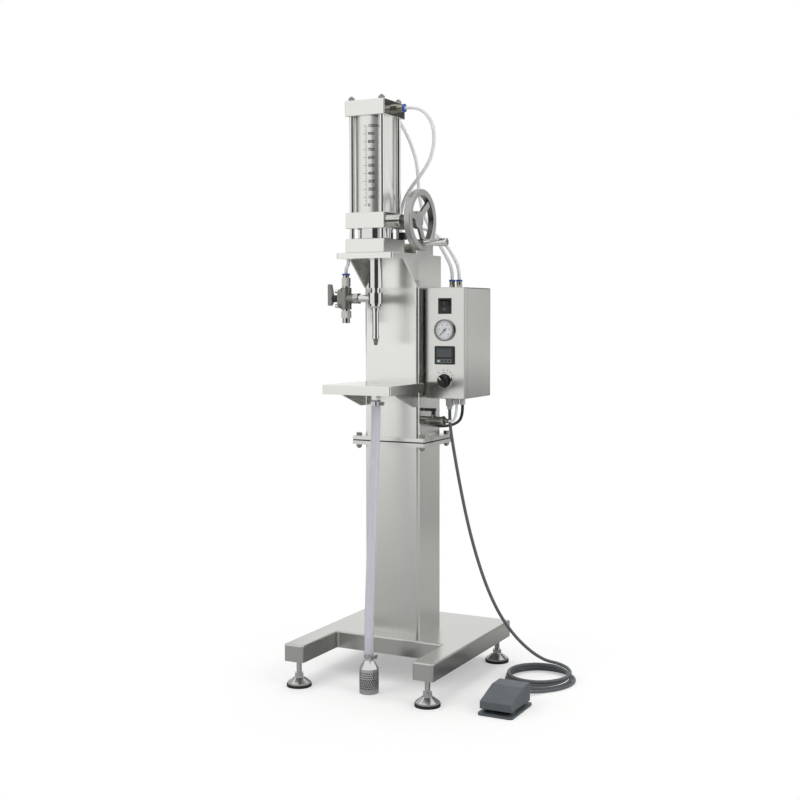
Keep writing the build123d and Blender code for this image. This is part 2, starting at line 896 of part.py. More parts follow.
# Bottle table: folded tray on two gussets, with the drain spigot welded under it
table_under = table_top_z - table_sheet
with BuildPart() as bottle_table:
    with BuildSketch(Plane.XY.offset(table_top_z)) as table_outline:
        with Locations((0, column_front - table_depth / 2)):
            Rectangle(table_width, table_depth)
        fillet(table_outline.vertices().group_by(Axis.Y)[0], table_corner)
    extrude(amount=-table_lip)
    fillet(bottle_table.edges().group_by(Axis.Z)[-1], table_fold)
    with BuildSketch(Plane.XY.offset(table_under)):
        with Locations((0, column_front - (table_depth - table_sheet) / 2)):
            Rectangle(table_width - 2 * table_sheet, table_depth - table_sheet)
    extrude(amount=table_sheet - table_lip, mode=Mode.SUBTRACT)
    for gusset_x in (column_side - gusset_thickness, -column_side):
        with BuildSketch(Plane.YZ.offset(gusset_x)):
            with BuildLine():
                Polyline(
                    (column_front, table_under),
                    (column_front, table_top_z - gusset_drop),
                    (column_front - gusset_foot, table_top_z - gusset_drop),
                    (column_front - gusset_length, table_top_z - gusset_nose),
                    (column_front - gusset_length, table_under),
                    close=True,
                )
            make_face()
        extrude(amount=gusset_thickness)
    with BuildSketch(Plane.XY.offset(table_under)):
        with Locations((0, head_y)):
            RegularPolygon(spigot_nut_across / 2, 6, major_radius=False)
    extrude(amount=-spigot_nut_height)
    with BuildSketch(Plane.XY.offset(spigot_bottom)):
        with Locations((0, head_y)):
            Circle(barb_d / 2)
    extrude(amount=-barb_length)
    with BuildSketch(Plane.XY.offset(table_top_z)):
        with Locations((0, head_y)):
            Circle(drain_d / 2)
    extrude(amount=spigot_bottom - barb_length - table_top_z, mode=Mode.SUBTRACT)
bottle_table.part.label = "bottle_table"
export_step(bottle_table.part, "parts/bottle_table.step")

# Clear suction hose from the spigot to the strainer
print_radii("suction_hose", hose_route, hose_d)
with BuildPart() as suction_hose:
    with BuildLine() as hose_path:
        FilletPolyline(*hose_route, radius=corner_radii(hose_route))
    with BuildSketch(Plane(origin=hose_path.line @ 0, z_dir=hose_path.line % 0)) as hose_section:
        Circle(hose_d / 2)
        Circle(hose_bore / 2, mode=Mode.SUBTRACT)
    sweep()
report_cord("suction_hose", hose_path.line, suction_hose.part, hose_section.sketch.area)
suction_hose.part.label = "suction_hose"
export_step(suction_hose.part, "parts/suction_hose.step")

# Clamps at the hose's two ends: band, lug and wing screw
clamp_lug_x = hose_d / 2 + running_gap
clamp_places = [
    (0, head_y, spigot_bottom - clamp_inset),
    (strainer_x, strainer_y, strainer_top_z + clamp_inset),
]
with BuildPart() as hose_clamps:
    for clamp_x, clamp_y, clamp_z in clamp_places:
        with BuildSketch(Plane.XY.offset(clamp_z - clamp_width / 2)):
            with Locations((clamp_x, clamp_y)):
                Circle(hose_d / 2 + running_gap + clamp_band)
            with Locations((clamp_x + clamp_lug_x + clamp_lug / 2, clamp_y)):
                Rectangle(clamp_lug, clamp_lug)
            with Locations((clamp_x, clamp_y)):
                Circle(hose_d / 2 + running_gap, mode=Mode.SUBTRACT)
        extrude(amount=clamp_width)
        screw_plane = Plane(
            origin=(clamp_x + clamp_lug_x + clamp_lug / 2, clamp_y, clamp_z),
            x_dir=(1, 0, 0),
            z_dir=(0, -1, 0),
        )
        with BuildSketch(screw_plane):
            Circle(clamp_screw_d / 2)
        extrude(amount=clamp_screw_length / 2, both=True)
        with BuildSketch(screw_plane.offset(clamp_screw_length / 2)):
            Rectangle(clamp_wing_thickness, clamp_width)
        extrude(amount=clamp_wing_length)
hose_clamps.part.label = "hose_clamps"
export_step(hose_clamps.part, "parts/hose_clamps.step")

# Strainer on the floor: perforated cup with a cone and a hose barb
strainer_holes = [
    Plane(
        origin=(strainer_x, strainer_y, strainer_first_row_z + row * strainer_row_pitch),
        z_dir=(cos(radians(turn)), sin(radians(turn)), 0),
    ).location
    for row in range(strainer_hole_rows)
    for turn in [
        180 * (step + 0.5 * (row % 2)) / strainer_half_turn_holes
        for step in range(strainer_half_turn_holes)
    ]
]
with BuildPart() as strainer:
    with BuildSketch(Plane(origin=(strainer_x, strainer_y, 0), x_dir=(1, 0, 0), z_dir=(0, -1, 0))):
        with BuildLine():
            Polyline(
                (0, 0),
                (strainer_d / 2, 0),
                (strainer_d / 2, strainer_body_height),
                (strainer_neck_d / 2, strainer_top_z),
                (barb_d / 2, strainer_top_z),
                (barb_d / 2, strainer_top_z + barb_length),
                (drain_d / 2, strainer_top_z + barb_length),
                (drain_d / 2, strainer_top_z - strainer_wall),
                (strainer_neck_d / 2 - strainer_wall, strainer_top_z - strainer_wall),
                (strainer_d / 2 - strainer_wall, strainer_body_height - strainer_wall),
                (strainer_d / 2 - strainer_wall, strainer_wall),
                (0, strainer_wall),
                close=True,
            )
        make_face()
    revolve(axis=Axis((strainer_x, strainer_y, 0), (0, 0, 1)))
    with Locations(*strainer_holes):
        Cylinder(strainer_hole_d / 2, 2 * strainer_d, mode=Mode.SUBTRACT)
strainer.part.label = "strainer"
export_step(strainer.part, "parts/strainer.step")

# Bottom block of the measuring cylinder
block_place = (0, head_y)
with BuildPart() as bottom_head:
    with BuildSketch(Plane.XY.offset(plate_top_z)):
        with Locations(block_place):
            RectangleRounded(block_width, block_depth, block_edge)
    extrude(amount=bottom_block_height)
    chamfer(bottom_head.edges().group_by(Axis.Z)[0], block_chamfer)
    chamfer(bottom_head.edges().group_by(Axis.Z)[-1], block_chamfer)
    with BuildSketch(Plane.XY.offset(bottom_top_z)):
        with Locations(block_place):
            Circle(barrel_d / 2 + running_gap)
    extrude(amount=-seat_depth, mode=Mode.SUBTRACT)
    with BuildSketch(Plane.XY.offset(plate_top_z)):
        with Locations(block_place):
            Circle(passage_d / 2)
        with Locations(*rod_points):
            Circle(rod_d / 2 + running_gap)
    extrude(amount=bottom_block_height, mode=Mode.SUBTRACT)
bottom_head.part.label = "bottom_head"
export_step(bottom_head.part, "parts/bottom_head.step")

# Chromed barrel between the lower two blocks
with BuildPart() as lower_barrel:
    with BuildSketch(Plane.XY.offset(bottom_top_z - seat_depth)):
        with Locations(block_place):
            Circle(barrel_d / 2)
            Circle(barrel_bore / 2, mode=Mode.SUBTRACT)
    extrude(amount=block_gap + 2 * seat_depth)
lower_barrel.part.label = "lower_barrel"
export_step(lower_barrel.part, "parts/lower_barrel.step")

# Middle block with the spindle's boss, the product passage and a rear air port
with BuildPart() as middle_head:
    with BuildSketch(Plane.XY.offset(middle_z)):
        with Locations(block_place):
            RectangleRounded(block_width, block_depth, block_edge)
    extrude(amount=middle_block_height)
    chamfer(middle_head.edges().group_by(Axis.Z)[0], block_chamfer)
    chamfer(middle_head.edges().group_by(Axis.Z)[-1], block_chamfer)
    with BuildSketch(wheel_plane(block_right)):
        Circle(boss_d / 2)
    extrude(amount=boss_length)
    with BuildSketch(Plane.XY.offset(middle_top_z)):
        with Locations(block_place):
            Circle(tube_d / 2 + running_gap)
    extrude(amount=-seat_depth, mode=Mode.SUBTRACT)
    with BuildSketch(Plane.XY.offset(middle_z)):
        with Locations(block_place):
            Circle(barrel_d / 2 + running_gap)
    extrude(amount=seat_depth, mode=Mode.SUBTRACT)
    with BuildSketch(Plane.XY.offset(middle_z)):
        with Locations(block_place):
            Circle(passage_d / 2)
        with Locations(*rod_points):
            Circle(rod_d / 2 + running_gap)
    extrude(amount=middle_block_height, mode=Mode.SUBTRACT)
    with BuildSketch(wheel_plane(0)):
        Circle(spindle_d / 2 + running_gap)
    extrude(amount=boss_end, mode=Mode.SUBTRACT)
middle_head.part.label = "middle_head"
export_step(middle_head.part, "parts/middle_head.step")

# Measuring tube
with BuildPart() as cylinder_tube:
    with BuildSketch(Plane.XY.offset(middle_top_z - seat_depth)):
        with Locations(block_place):
            Circle(tube_d / 2)
            Circle(tube_bore / 2, mode=Mode.SUBTRACT)
    extrude(amount=tube_length + 2 * seat_depth)
cylinder_tube.part.label = "cylinder_tube"
export_step(cylinder_tube.part, "parts/cylinder_tube.step")

# Top block with its air ports to the right and the rear
with BuildPart() as top_head:
    with BuildSketch(Plane.XY.offset(top_z)):
        with Locations(block_place):
            RectangleRounded(block_width, block_depth, block_edge)
    extrude(amount=top_block_height)
    chamfer(top_head.edges().group_by(Axis.Z)[0], block_chamfer)
    chamfer(top_head.edges().group_by(Axis.Z)[-1], block_chamfer)
    with BuildSketch(Plane.XY.offset(top_z)):
        with Locations(block_place):
            Circle(tube_d / 2 + running_gap)
    extrude(amount=seat_depth, mode=Mode.SUBTRACT)
    with BuildSketch(Plane.XY.offset(top_z)):
        with Locations(*rod_points):
            Circle(rod_end_d / 2 + running_gap)
    extrude(amount=top_block_height, mode=Mode.SUBTRACT)
    with BuildSketch(Plane.XY.offset(top_z)):
        with Locations(block_place):
            Circle(air_bore / 2)
    extrude(amount=port_z - top_z, mode=Mode.SUBTRACT)
    with BuildSketch(Plane(origin=(0, head_y, port_z), z_dir=(1, 0, 0))):
        Circle(air_bore / 2)
    extrude(amount=block_right, mode=Mode.SUBTRACT)
    with BuildSketch(Plane(origin=(top_rear_port_x, head_y, port_z), z_dir=(0, 1, 0))):
        Circle(air_bore / 2)
    extrude(amount=block_depth / 2, mode=Mode.SUBTRACT)
top_head.part.label = "top_head"
export_step(top_head.part, "parts/top_head.step")

# Tie rods with their acorn nuts
acorn_z = top_top_z + acorn_height
with BuildPart() as tie_rods:
    with BuildSketch(Plane.XY.offset(plate_top_z - rod_seat)):
        with Locations(*rod_points):
            Circle(rod_d / 2)
    extrude(amount=top_z - plate_top_z + rod_seat)
    with BuildSketch(Plane.XY.offset(top_z)):
        with Locations(*rod_points):
            Circle(rod_end_d / 2)
    extrude(amount=acorn_z - top_z)
    with BuildSketch(Plane.XY.offset(top_top_z)):
        with Locations(*rod_points):
            RegularPolygon(acorn_across / 2, 6, major_radius=False)
    extrude(amount=acorn_height)
    with Locations(*[(x, y, acorn_z) for x, y in rod_points]):
        Cone(
            acorn_across / 2,
            acorn_dome_d / 4,
            acorn_dome,
            align=(Align.CENTER, Align.CENTER, Align.MIN),
        )
tie_rods.part.label = "tie_rods"
export_step(tie_rods.part, "parts/tie_rods.step")

# Piston with two ring grooves
piston_r = tube_bore / 2 - running_gap
groove_r = piston_r - ring_depth
ring_starts = [middle_top_z + ring_inset, middle_top_z + piston_height - ring_inset - ring_height]
with BuildPart() as piston:
    with BuildSketch(Plane.XY.offset(middle_top_z)):
        with Locations(block_place):
            Circle(piston_r)
    extrude(amount=piston_height)
    for ring_z in ring_starts:
        with BuildSketch(Plane.XY.offset(ring_z)):
            with Locations(block_place):
                Circle(piston_r)
                Circle(groove_r, mode=Mode.SUBTRACT)
        extrude(amount=ring_height, mode=Mode.SUBTRACT)
piston.part.label = "piston"
export_step(piston.part, "parts/piston.step")

# Piston rings
with BuildPart() as piston_seals:
    for ring_z in ring_starts:
        with BuildSketch(Plane.XY.offset(ring_z)):
            with Locations(block_place):
                Circle(piston_r)
                Circle(groove_r, mode=Mode.SUBTRACT)
        extrude(amount=ring_height)
piston_seals.part.label = "piston_seals"
export_step(piston_seals.part, "parts/piston_seals.step")

# Position sensor on the bottom block, by the rear right rod
with BuildPart() as position_sensor:
    with BuildSketch(Plane.XY.offset(bottom_top_z)):
        with Locations((rod_x + rod_d / 2 + seat_gap + sensor_width / 2, head_y + rod_y)):
            Rectangle(sensor_width, sensor_depth)
    extrude(amount=sensor_height)
position_sensor.part.label = "position_sensor"
export_step(position_sensor.part, "parts/position_sensor.step")

# Throttle plug that the spindle's thread moves across the passage
with BuildPart() as throttle_plug:
    with BuildSketch(wheel_plane(throttle_start)):
        Circle(spindle_d / 2 - running_gap)
    extrude(amount=throttle_length)
    with BuildSketch(wheel_plane(throttle_start + throttle_face)):
        Circle(spindle_thread_d / 2 + thread_gap)
    extrude(amount=throttle_length - throttle_face, mode=Mode.SUBTRACT)
throttle_plug.part.label = "throttle_plug"
export_step(throttle_plug.part, "parts/throttle_plug.step")

# Spindle from the throttle plug to the wheel's hub
with BuildPart() as spindle:
    with BuildSketch(wheel_plane(throttle_start + throttle_face + throttle_play)):
        Circle(spindle_thread_d / 2)
    extrude(amount=throttle_length - throttle_face)
    with BuildSketch(wheel_plane(throttle_end + throttle_play)):
        Circle(spindle_d / 2)
    extrude(amount=hub_end - throttle_end - throttle_play)
spindle.part.label = "spindle"
export_step(spindle.part, "parts/spindle.step")

# Handwheel: rim, three spokes that lean forward, hub and the crank's stud
rim_inner_r = wheel_d / 2 - rim_radial
spoke_r = hub_d / 2 - spoke_root
spoke_length = rim_inner_r + rim_radial / 2 - spoke_r
with BuildPart() as handwheel:
    with BuildSketch(wheel_plane(wheel_x - rim_width / 2)):
        Circle(wheel_d / 2)
        Circle(rim_inner_r, mode=Mode.SUBTRACT)
    extrude(amount=rim_width)
    fillet(handwheel.edges().filter_by(GeomType.CIRCLE), rim_round)
    for number in range(spoke_count):
        out = Vector(0, 1, 0).rotate(Axis.X, spoke_angle + 360 / spoke_count * number)
        across = Vector(1, 0, 0).cross(out)
        along = out * (rim_inner_r - spoke_r) + Vector(spoke_dish, 0, 0)
        root = wheel_plane(spoke_start).origin + out * spoke_r
        with BuildSketch(Plane(origin=root, x_dir=along, z_dir=along.cross(across))):
            Rectangle(spoke_length, spoke_width, align=(Align.MIN, Align.CENTER))
        extrude(amount=spoke_thickness)
    with BuildSketch(wheel_plane(hub_start)):
        Circle(hub_d / 2)
    extrude(amount=hub_length)
    with BuildSketch(wheel_plane(hub_start)):
        Circle(spindle_d / 2 + running_gap)
    extrude(amount=hub_length, mode=Mode.SUBTRACT)
    with BuildSketch(wheel_plane(spoke_start)):
        with Locations((0, -crank_radius)):
            Circle(crank_boss_d / 2)
    extrude(amount=rim_front + crank_boss - spoke_start)
    with BuildSketch(wheel_plane(wheel_x)):
        with Locations((0, -crank_radius)):
            Circle(crank_stud_d / 2)
    extrude(amount=grip_end - grip_cap - seat_gap - wheel_x)
handwheel.part.label = "handwheel"
export_step(handwheel.part, "parts/handwheel.step")

# Crank grip that turns on the stud
grip_axis = Axis((0, head_y, crank_z), (1, 0, 0))
grip_taper = (grip_end_d - grip_root_d) / 2 / grip_length
groove_start_r = grip_root_d / 2 + grip_taper * (grip_groove_start - grip_start)
groove_end_r = grip_root_d / 2 + grip_taper * (grip_groove_end - grip_start)
with BuildPart() as crank_grip:
    with BuildSketch(Plane(origin=(0, head_y, crank_z), x_dir=(1, 0, 0), z_dir=(0, -1, 0))):
        with BuildLine():
            Polyline(
                (grip_start, 0),
                (grip_start, grip_root_d / 2),
                (grip_groove_start, groove_start_r),
                (grip_groove_start, groove_start_r - grip_groove_depth),
                (grip_groove_end, groove_end_r - grip_groove_depth),
                (grip_groove_end, groove_end_r),
                (grip_end, grip_end_d / 2),
                (grip_end, 0),
                close=True,
            )
        make_face()
    revolve(axis=grip_axis)
    fillet(crank_grip.edges().sort_by(Axis.X)[-1], grip_round)
    with BuildSketch(Plane(origin=(grip_start, head_y, crank_z), z_dir=(1, 0, 0))):
        Circle(crank_stud_d / 2 + running_gap)
    extrude(amount=grip_length - grip_cap, mode=Mode.SUBTRACT)
crank_grip.part.label = "crank_grip"
export_step(crank_grip.part, "parts/crank_grip.step")

# Nozzle body under the plate: pipe, neck, body with its side pipe, collar and step
nozzle_place = (0, head_y)
with BuildPart() as nozzle_body:
    with BuildSketch(Plane.XY.offset(plate_bottom_z)):
        with Locations(nozzle_place):
            Circle(nozzle_pipe_d / 2)
    extrude(amount=-nozzle_pipe_length)
    with BuildSketch(Plane.XY.offset(nozzle_neck_z)):
        with Locations(nozzle_place):
            Circle(nozzle_neck_d / 2)
    extrude(amount=-nozzle_neck)
    with BuildSketch(Plane.XY.offset(nozzle_body_z)):
        with Locations(nozzle_place):
            Circle(nozzle_body_d / 2)
    extrude(amount=-nozzle_body_height)
    with BuildSketch(Plane.XY.offset(nozzle_collar_z)):
        with Locations(nozzle_place):
            Circle(nozzle_collar_d / 2)
    extrude(amount=-nozzle_collar)
    fillet(nozzle_body.faces().sort_by(Axis.Z)[0].edges(), nozzle_collar_round)
    with BuildSketch(Plane.XY.offset(nozzle_step_z)):
        with Locations(nozzle_place):
            Circle(nozzle_step_d / 2)
    extrude(amount=-nozzle_step)
    with BuildSketch(Plane(origin=(0, head_y, valve_z), z_dir=(-1, 0, 0))):
        Circle(side_pipe_d / 2)
    extrude(amount=-valve_arm_end)
    with BuildSketch(Plane.XY.offset(plate_bottom_z)):
        with Locations(nozzle_place):
            Circle(nozzle_bore / 2)
    extrude(amount=nozzle_tube_z - plate_bottom_z, mode=Mode.SUBTRACT)
    with BuildSketch(Plane(origin=(0, head_y, valve_z), z_dir=(-1, 0, 0))):
        Circle(side_bore / 2)
    extrude(amount=-valve_arm_end, mode=Mode.SUBTRACT)
nozzle_body.part.label = "nozzle_body"
export_step(nozzle_body.part, "parts/nozzle_body.step")

# Nozzle tube with its ring and tapered tip
with BuildPart() as nozzle_tip:
    with BuildSketch(Plane(origin=(0, head_y, 0), x_dir=(1, 0, 0), z_dir=(0, -1, 0))):
        with BuildLine():
            Polyline(
                (nozzle_feed_d / 2, nozzle_tube_z),
                (nozzle_tube_d / 2, nozzle_tube_z),
                (nozzle_tube_d / 2, nozzle_ring_z),
                (nozzle_ring_d / 2, nozzle_ring_z),
                (nozzle_ring_d / 2, nozzle_tip_z),
                (nozzle_tip_top_d / 2, nozzle_tip_z),
                (nozzle_tip_end_d / 2, nozzle_end_z),
                (nozzle_outlet_d / 2, nozzle_end_z),
                (nozzle_outlet_d / 2, nozzle_tip_z),
                (nozzle_feed_d / 2, nozzle_ring_z),
                close=True,
            )
        make_face()
    revolve(axis=Axis((0, head_y, 0), (0, 0, 1)))
nozzle_tip.part.label = "nozzle_tip"
export_step(nozzle_tip.part, "parts/nozzle_tip.step")

# Product valve body: upright barrel with an arm to the nozzle and a seat for the bonnet
with BuildPart() as valve_body:
    with BuildSketch(Plane.XY.offset(valve_bottom_z)):
        with Locations((valve_x, head_y)):
            Circle(valve_body_d / 2)
    extrude(amount=2 * valve_body_half)
    with BuildSketch(valve_plane(valve_x)):
        Circle(valve_arm_d / 2)
    extrude(amount=valve_arm)
    with BuildSketch(valve_plane(bonnet_x)):
        SlotOverall(bonnet_height, bonnet_width, rotation=90)
    extrude(amount=bonnet_start)
    with BuildSketch(Plane.XY.offset(valve_bottom_z)):
        with Locations((valve_x, head_y)):
            Circle(side_bore / 2)
    extrude(amount=2 * valve_body_half, mode=Mode.SUBTRACT)
    with BuildSketch(valve_plane(valve_x)):
        Circle(side_bore / 2)
    extrude(amount=valve_arm, mode=Mode.SUBTRACT)
    with BuildSketch(valve_plane(bonnet_x)):
        Circle(plug_d / 2 + running_gap)
    extrude(amount=bonnet_start + plug_half + seat_gap, mode=Mode.SUBTRACT)
valve_body.part.label = "valve_body"
export_step(valve_body.part, "parts/valve_body.step")

# Oval bonnet with its two screws
with BuildPart() as valve_bonnet:
    with BuildSketch(valve_plane(bonnet_x)):
        SlotOverall(bonnet_height, bonnet_width, rotation=90)
        Circle(valve_stem_d / 2 + running_gap, mode=Mode.SUBTRACT)
    extrude(amount=-bonnet_thickness)
    with BuildSketch(valve_plane(bonnet_left)):
        with GridLocations(0, bonnet_screw_spacing, 1, 2):
            Circle(bonnet_screw_d / 2)
    extrude(amount=-bonnet_screw_head)
valve_bonnet.part.label = "valve_bonnet"
export_step(valve_bonnet.part, "parts/valve_bonnet.step")

# Valve nuts: upper nut with its neck, lower nut with the threaded end, and the union on the side pipe
bottom_nut_z = valve_bottom_z - valve_neck
outlet_z = bottom_nut_z - bottom_nut
outlet_end_z = outlet_z - outlet_length
valve_place = (valve_x, head_y)
with BuildPart() as valve_nuts:
    with BuildSketch(Plane.XY.offset(valve_top_z)):
        with Locations(valve_place):
            Circle(valve_neck_d / 2)
    extrude(amount=valve_neck)
    with BuildSketch(Plane.XY.offset(top_nut_z)):
        with Locations(valve_place):
            RegularPolygon(top_nut_across / 2, 6, major_radius=False)
    extrude(amount=top_nut)
    with BuildSketch(Plane.XY.offset(top_nut_z + top_nut)):
        with Locations(valve_place):
            Circle(top_neck_d / 2)
    extrude(amount=top_neck)
    with BuildSketch(Plane.XY.offset(valve_bottom_z)):
        with Locations(valve_place):
            Circle(valve_neck_d / 2)
    extrude(amount=-valve_neck)
    with BuildSketch(Plane.XY.offset(bottom_nut_z)):
        with Locations(valve_place):
            RegularPolygon(bottom_nut_across / 2, 6, major_radius=False)
    extrude(amount=-bottom_nut)
    with BuildSketch(Plane.XY.offset(outlet_z)):
        with Locations(valve_place):
            Circle(outlet_d / 2)
    extrude(amount=-outlet_length)
    with BuildSketch(Plane.XY.offset(outlet_end_z)):
        with Locations(valve_place):
            Circle(side_bore / 2)
    extrude(amount=valve_bottom_z - outlet_end_z, mode=Mode.SUBTRACT)
    with BuildSketch(valve_plane(valve_arm_end)):
        RegularPolygon(union_across / 2, 6, major_radius=False)
        Circle(side_pipe_d / 2 + running_gap, mode=Mode.SUBTRACT)
    extrude(amount=union_length)
valve_nuts.part.label = "valve_nuts"
export_step(valve_nuts.part, "parts/valve_nuts.step")

# T handle with its stem and the ported plug inside the valve
stem_inner = bonnet_x + seat_gap
handle_plane = Plane(origin=(handle_x, head_y, valve_z), x_dir=(1, 0, 0), z_dir=(0, -1, 0))
with BuildPart() as valve_handle:
    with BuildSketch(valve_plane(stem_inner)):
        Circle(plug_d / 2)
    extrude(amount=bonnet_start + plug_half - seat_gap)
    with BuildSketch(valve_plane(stem_inner)):
        Circle(valve_stem_d / 2)
    extrude(amount=bonnet_left - seat_gap - stem_inner)
    with BuildSketch(valve_plane(bonnet_left - seat_gap)):
        Circle(valve_collar_d / 2)
    extrude(amount=-valve_collar)
    with BuildSketch(handle_plane) as handle_bow:
        with BuildLine():
            Polyline(
                (0, handle_middle / 2),
                (handle_tip - handle_hub, handle_rise + handle_height / 2),
                (-handle_hub, handle_rise + handle_height / 2),
                (-handle_hub, handle_rise - handle_height / 2),
                (handle_tip - handle_hub, handle_rise - handle_height / 2),
                (0, -handle_middle / 2),
                close=True,
            )
        make_face()
        fillet(handle_bow.vertices(), handle_round)
    extrude(amount=handle_depth / 2, both=True)
    with BuildSketch(Plane.XY.offset(valve_z - plug_d)):
        with Locations(valve_place):
            Circle(side_bore / 2)
    extrude(amount=2 * plug_d, mode=Mode.SUBTRACT)
valve_handle.part.label = "valve_handle"
export_step(valve_handle.part, "parts/valve_handle.step")

# Push-in fittings
small_ports = [
    Plane(origin=(top_rear_port_x, block_rear, port_z), z_dir=(0, 1, 0)),
    Plane(origin=(middle_rear_port_x, block_rear, wheel_z), z_dir=(0, 1, 0)),
    Plane(origin=(box_port_x - box_port_pitch / 2, box_port_y, box_top_z)),
    Plane(origin=(box_port_x + box_port_pitch / 2, box_port_y, box_top_z)),
    Plane(origin=(manifold_port_x, manifold_front + manifold_port_inset, manifold_top_z)),
]
large_port = Plane(origin=(block_right, head_y, port_z), z_dir=(1, 0, 0))
with BuildPart() as air_fittings:
    with BuildSketch(*small_ports):
        RegularPolygon(fitting_across / 2, 6, major_radius=False)
    extrude(amount=fitting_hex)
    with BuildSketch(*[port.offset(fitting_hex) for port in small_ports]):
        Circle(fitting_body_d / 2)
    extrude(amount=fitting_body)
    with BuildSketch(large_port):
        RegularPolygon(large_across / 2, 6, major_radius=False)
    extrude(amount=large_hex)
    with BuildSketch(large_port.offset(large_hex)):
        Circle(large_body_d / 2)
    extrude(amount=large_body)
    with BuildSketch(Plane(origin=(elbow_x, column_rear, elbow_z), z_dir=(0, 1, 0))):
        Rectangle(elbow_size, elbow_size)
    extrude(amount=elbow_depth)
    with BuildSketch(Plane(origin=(elbow_x, column_rear + elbow_port_y, elbow_z), z_dir=(1, 0, 0))):
        Circle(elbow_port_d / 2)
    extrude(amount=elbow_size / 2 + elbow_port)
air_fittings.part.label = "air_fittings"
export_step(air_fittings.part, "parts/air_fittings.step")

# Release collars of the fittings
with BuildPart() as fitting_collars:
    with BuildSketch(*[port.offset(fitting_hex + fitting_body) for port in small_ports]):
        Circle(collar_d / 2)
    extrude(amount=collar_height)
    with BuildSketch(large_port.offset(large_hex + large_body)):
        Circle(large_collar_d / 2)
    extrude(amount=collar_height)
    with BuildSketch(Plane.XY.offset(collar_seat_z)):
        with Locations(valve_place):
            Circle(large_collar_d / 2)
    extrude(amount=collar_height)
fitting_collars.part.label = "fitting_collars"
export_step(fitting_collars.part, "parts/fitting_collars.step")

# Air tube from the top block down to the manifold box
print_radii("top_air_tube", top_air_route, air_tube_d)
with BuildPart() as top_air_tube:
    with BuildLine() as top_air_path:
        FilletPolyline(*top_air_route, radius=corner_radii(top_air_route))
    with BuildSketch(Plane(origin=top_air_path.line @ 0, z_dir=top_air_path.line % 0)) as top_air_section:
        Circle(air_tube_d / 2)
    sweep()
report_cord("top_air_tube", top_air_path.line, top_air_tube.part, top_air_section.sketch.area)
top_air_tube.part.label = "top_air_tube"
export_step(top_air_tube.part, "parts/top_air_tube.step")

# Air tube from the rear of the top block to the control box
print_radii("box_air_tube_1", box_air_route_1, air_tube_d)
with BuildPart() as box_air_tube_1:
    with BuildLine() as box_path_1:
        FilletPolyline(*box_air_route_1, radius=corner_radii(box_air_route_1))
    with BuildSketch(Plane(origin=box_path_1.line @ 0, z_dir=box_path_1.line % 0)) as box_section_1:
        Circle(air_tube_d / 2)
    sweep()
report_cord("box_air_tube_1", box_path_1.line, box_air_tube_1.part, box_section_1.sketch.area)
box_air_tube_1.part.label = "box_air_tube_1"
export_step(box_air_tube_1.part, "parts/box_air_tube_1.step")

# Air tube from the rear of the middle block to the control box
print_radii("box_air_tube_2", box_air_route_2, air_tube_d)
with BuildPart() as box_air_tube_2:
    with BuildLine() as box_path_2:
        FilletPolyline(*box_air_route_2, radius=corner_radii(box_air_route_2))
    with BuildSketch(Plane(origin=box_path_2.line @ 0, z_dir=box_path_2.line % 0)) as box_section_2:
        Circle(air_tube_d / 2)
    sweep()
report_cord("box_air_tube_2", box_path_2.line, box_air_tube_2.part, box_section_2.sketch.area)
box_air_tube_2.part.label = "box_air_tube_2"
export_step(box_air_tube_2.part, "parts/box_air_tube_2.step")

# Short air tube from the product valve up into the plate
print_radii("valve_air_tube", valve_air_route, air_tube_d)
with BuildPart() as valve_air_tube:
    with BuildLine() as valve_air_path:
        FilletPolyline(*valve_air_route, radius=corner_radii(valve_air_route))
    valve_air_plane = Plane(origin=valve_air_path.line @ 0, z_dir=valve_air_path.line % 0)
    with BuildSketch(valve_air_plane) as valve_air_section:
        Circle(air_tube_d / 2)
    sweep()
report_cord("valve_air_tube", valve_air_path.line, valve_air_tube.part, valve_air_section.sketch.area)
valve_air_tube.part.label = "valve_air_tube"
export_step(valve_air_tube.part, "parts/valve_air_tube.step")

# Thin tube from the control box to the ball valve
print_radii("valve_tube", valve_tube_route, valve_tube_d)
with BuildPart() as valve_tube:
    with BuildLine() as valve_tube_path:
        FilletPolyline(*valve_tube_route, radius=corner_radii(valve_tube_route))
    valve_tube_end = Plane(origin=valve_tube_path.line @ 0, z_dir=valve_tube_path.line % 0)
    with BuildSketch(valve_tube_end) as valve_tube_section:
        Circle(valve_tube_d / 2)
    sweep()
report_cord("valve_tube", valve_tube_path.line, valve_tube.part, valve_tube_section.sketch.area)
valve_tube.part.label = "valve_tube"
export_step(valve_tube.part, "parts/valve_tube.step")

# Black hose from the control box to the elbow on the column's rear
print_radii("supply_hose", supply_route, supply_hose_d)
with BuildPart() as supply_hose:
    with BuildLine() as supply_path:
        FilletPolyline(*supply_route, radius=corner_radii(supply_route))
    with BuildSketch(Plane(origin=supply_path.line @ 0, z_dir=supply_path.line % 0)) as supply_section:
        Circle(supply_hose_d / 2)
    sweep()
report_cord("supply_hose", supply_path.line, supply_hose.part, supply_section.sketch.area)
supply_hose.part.label = "supply_hose"
export_step(supply_hose.part, "parts/supply_hose.step")

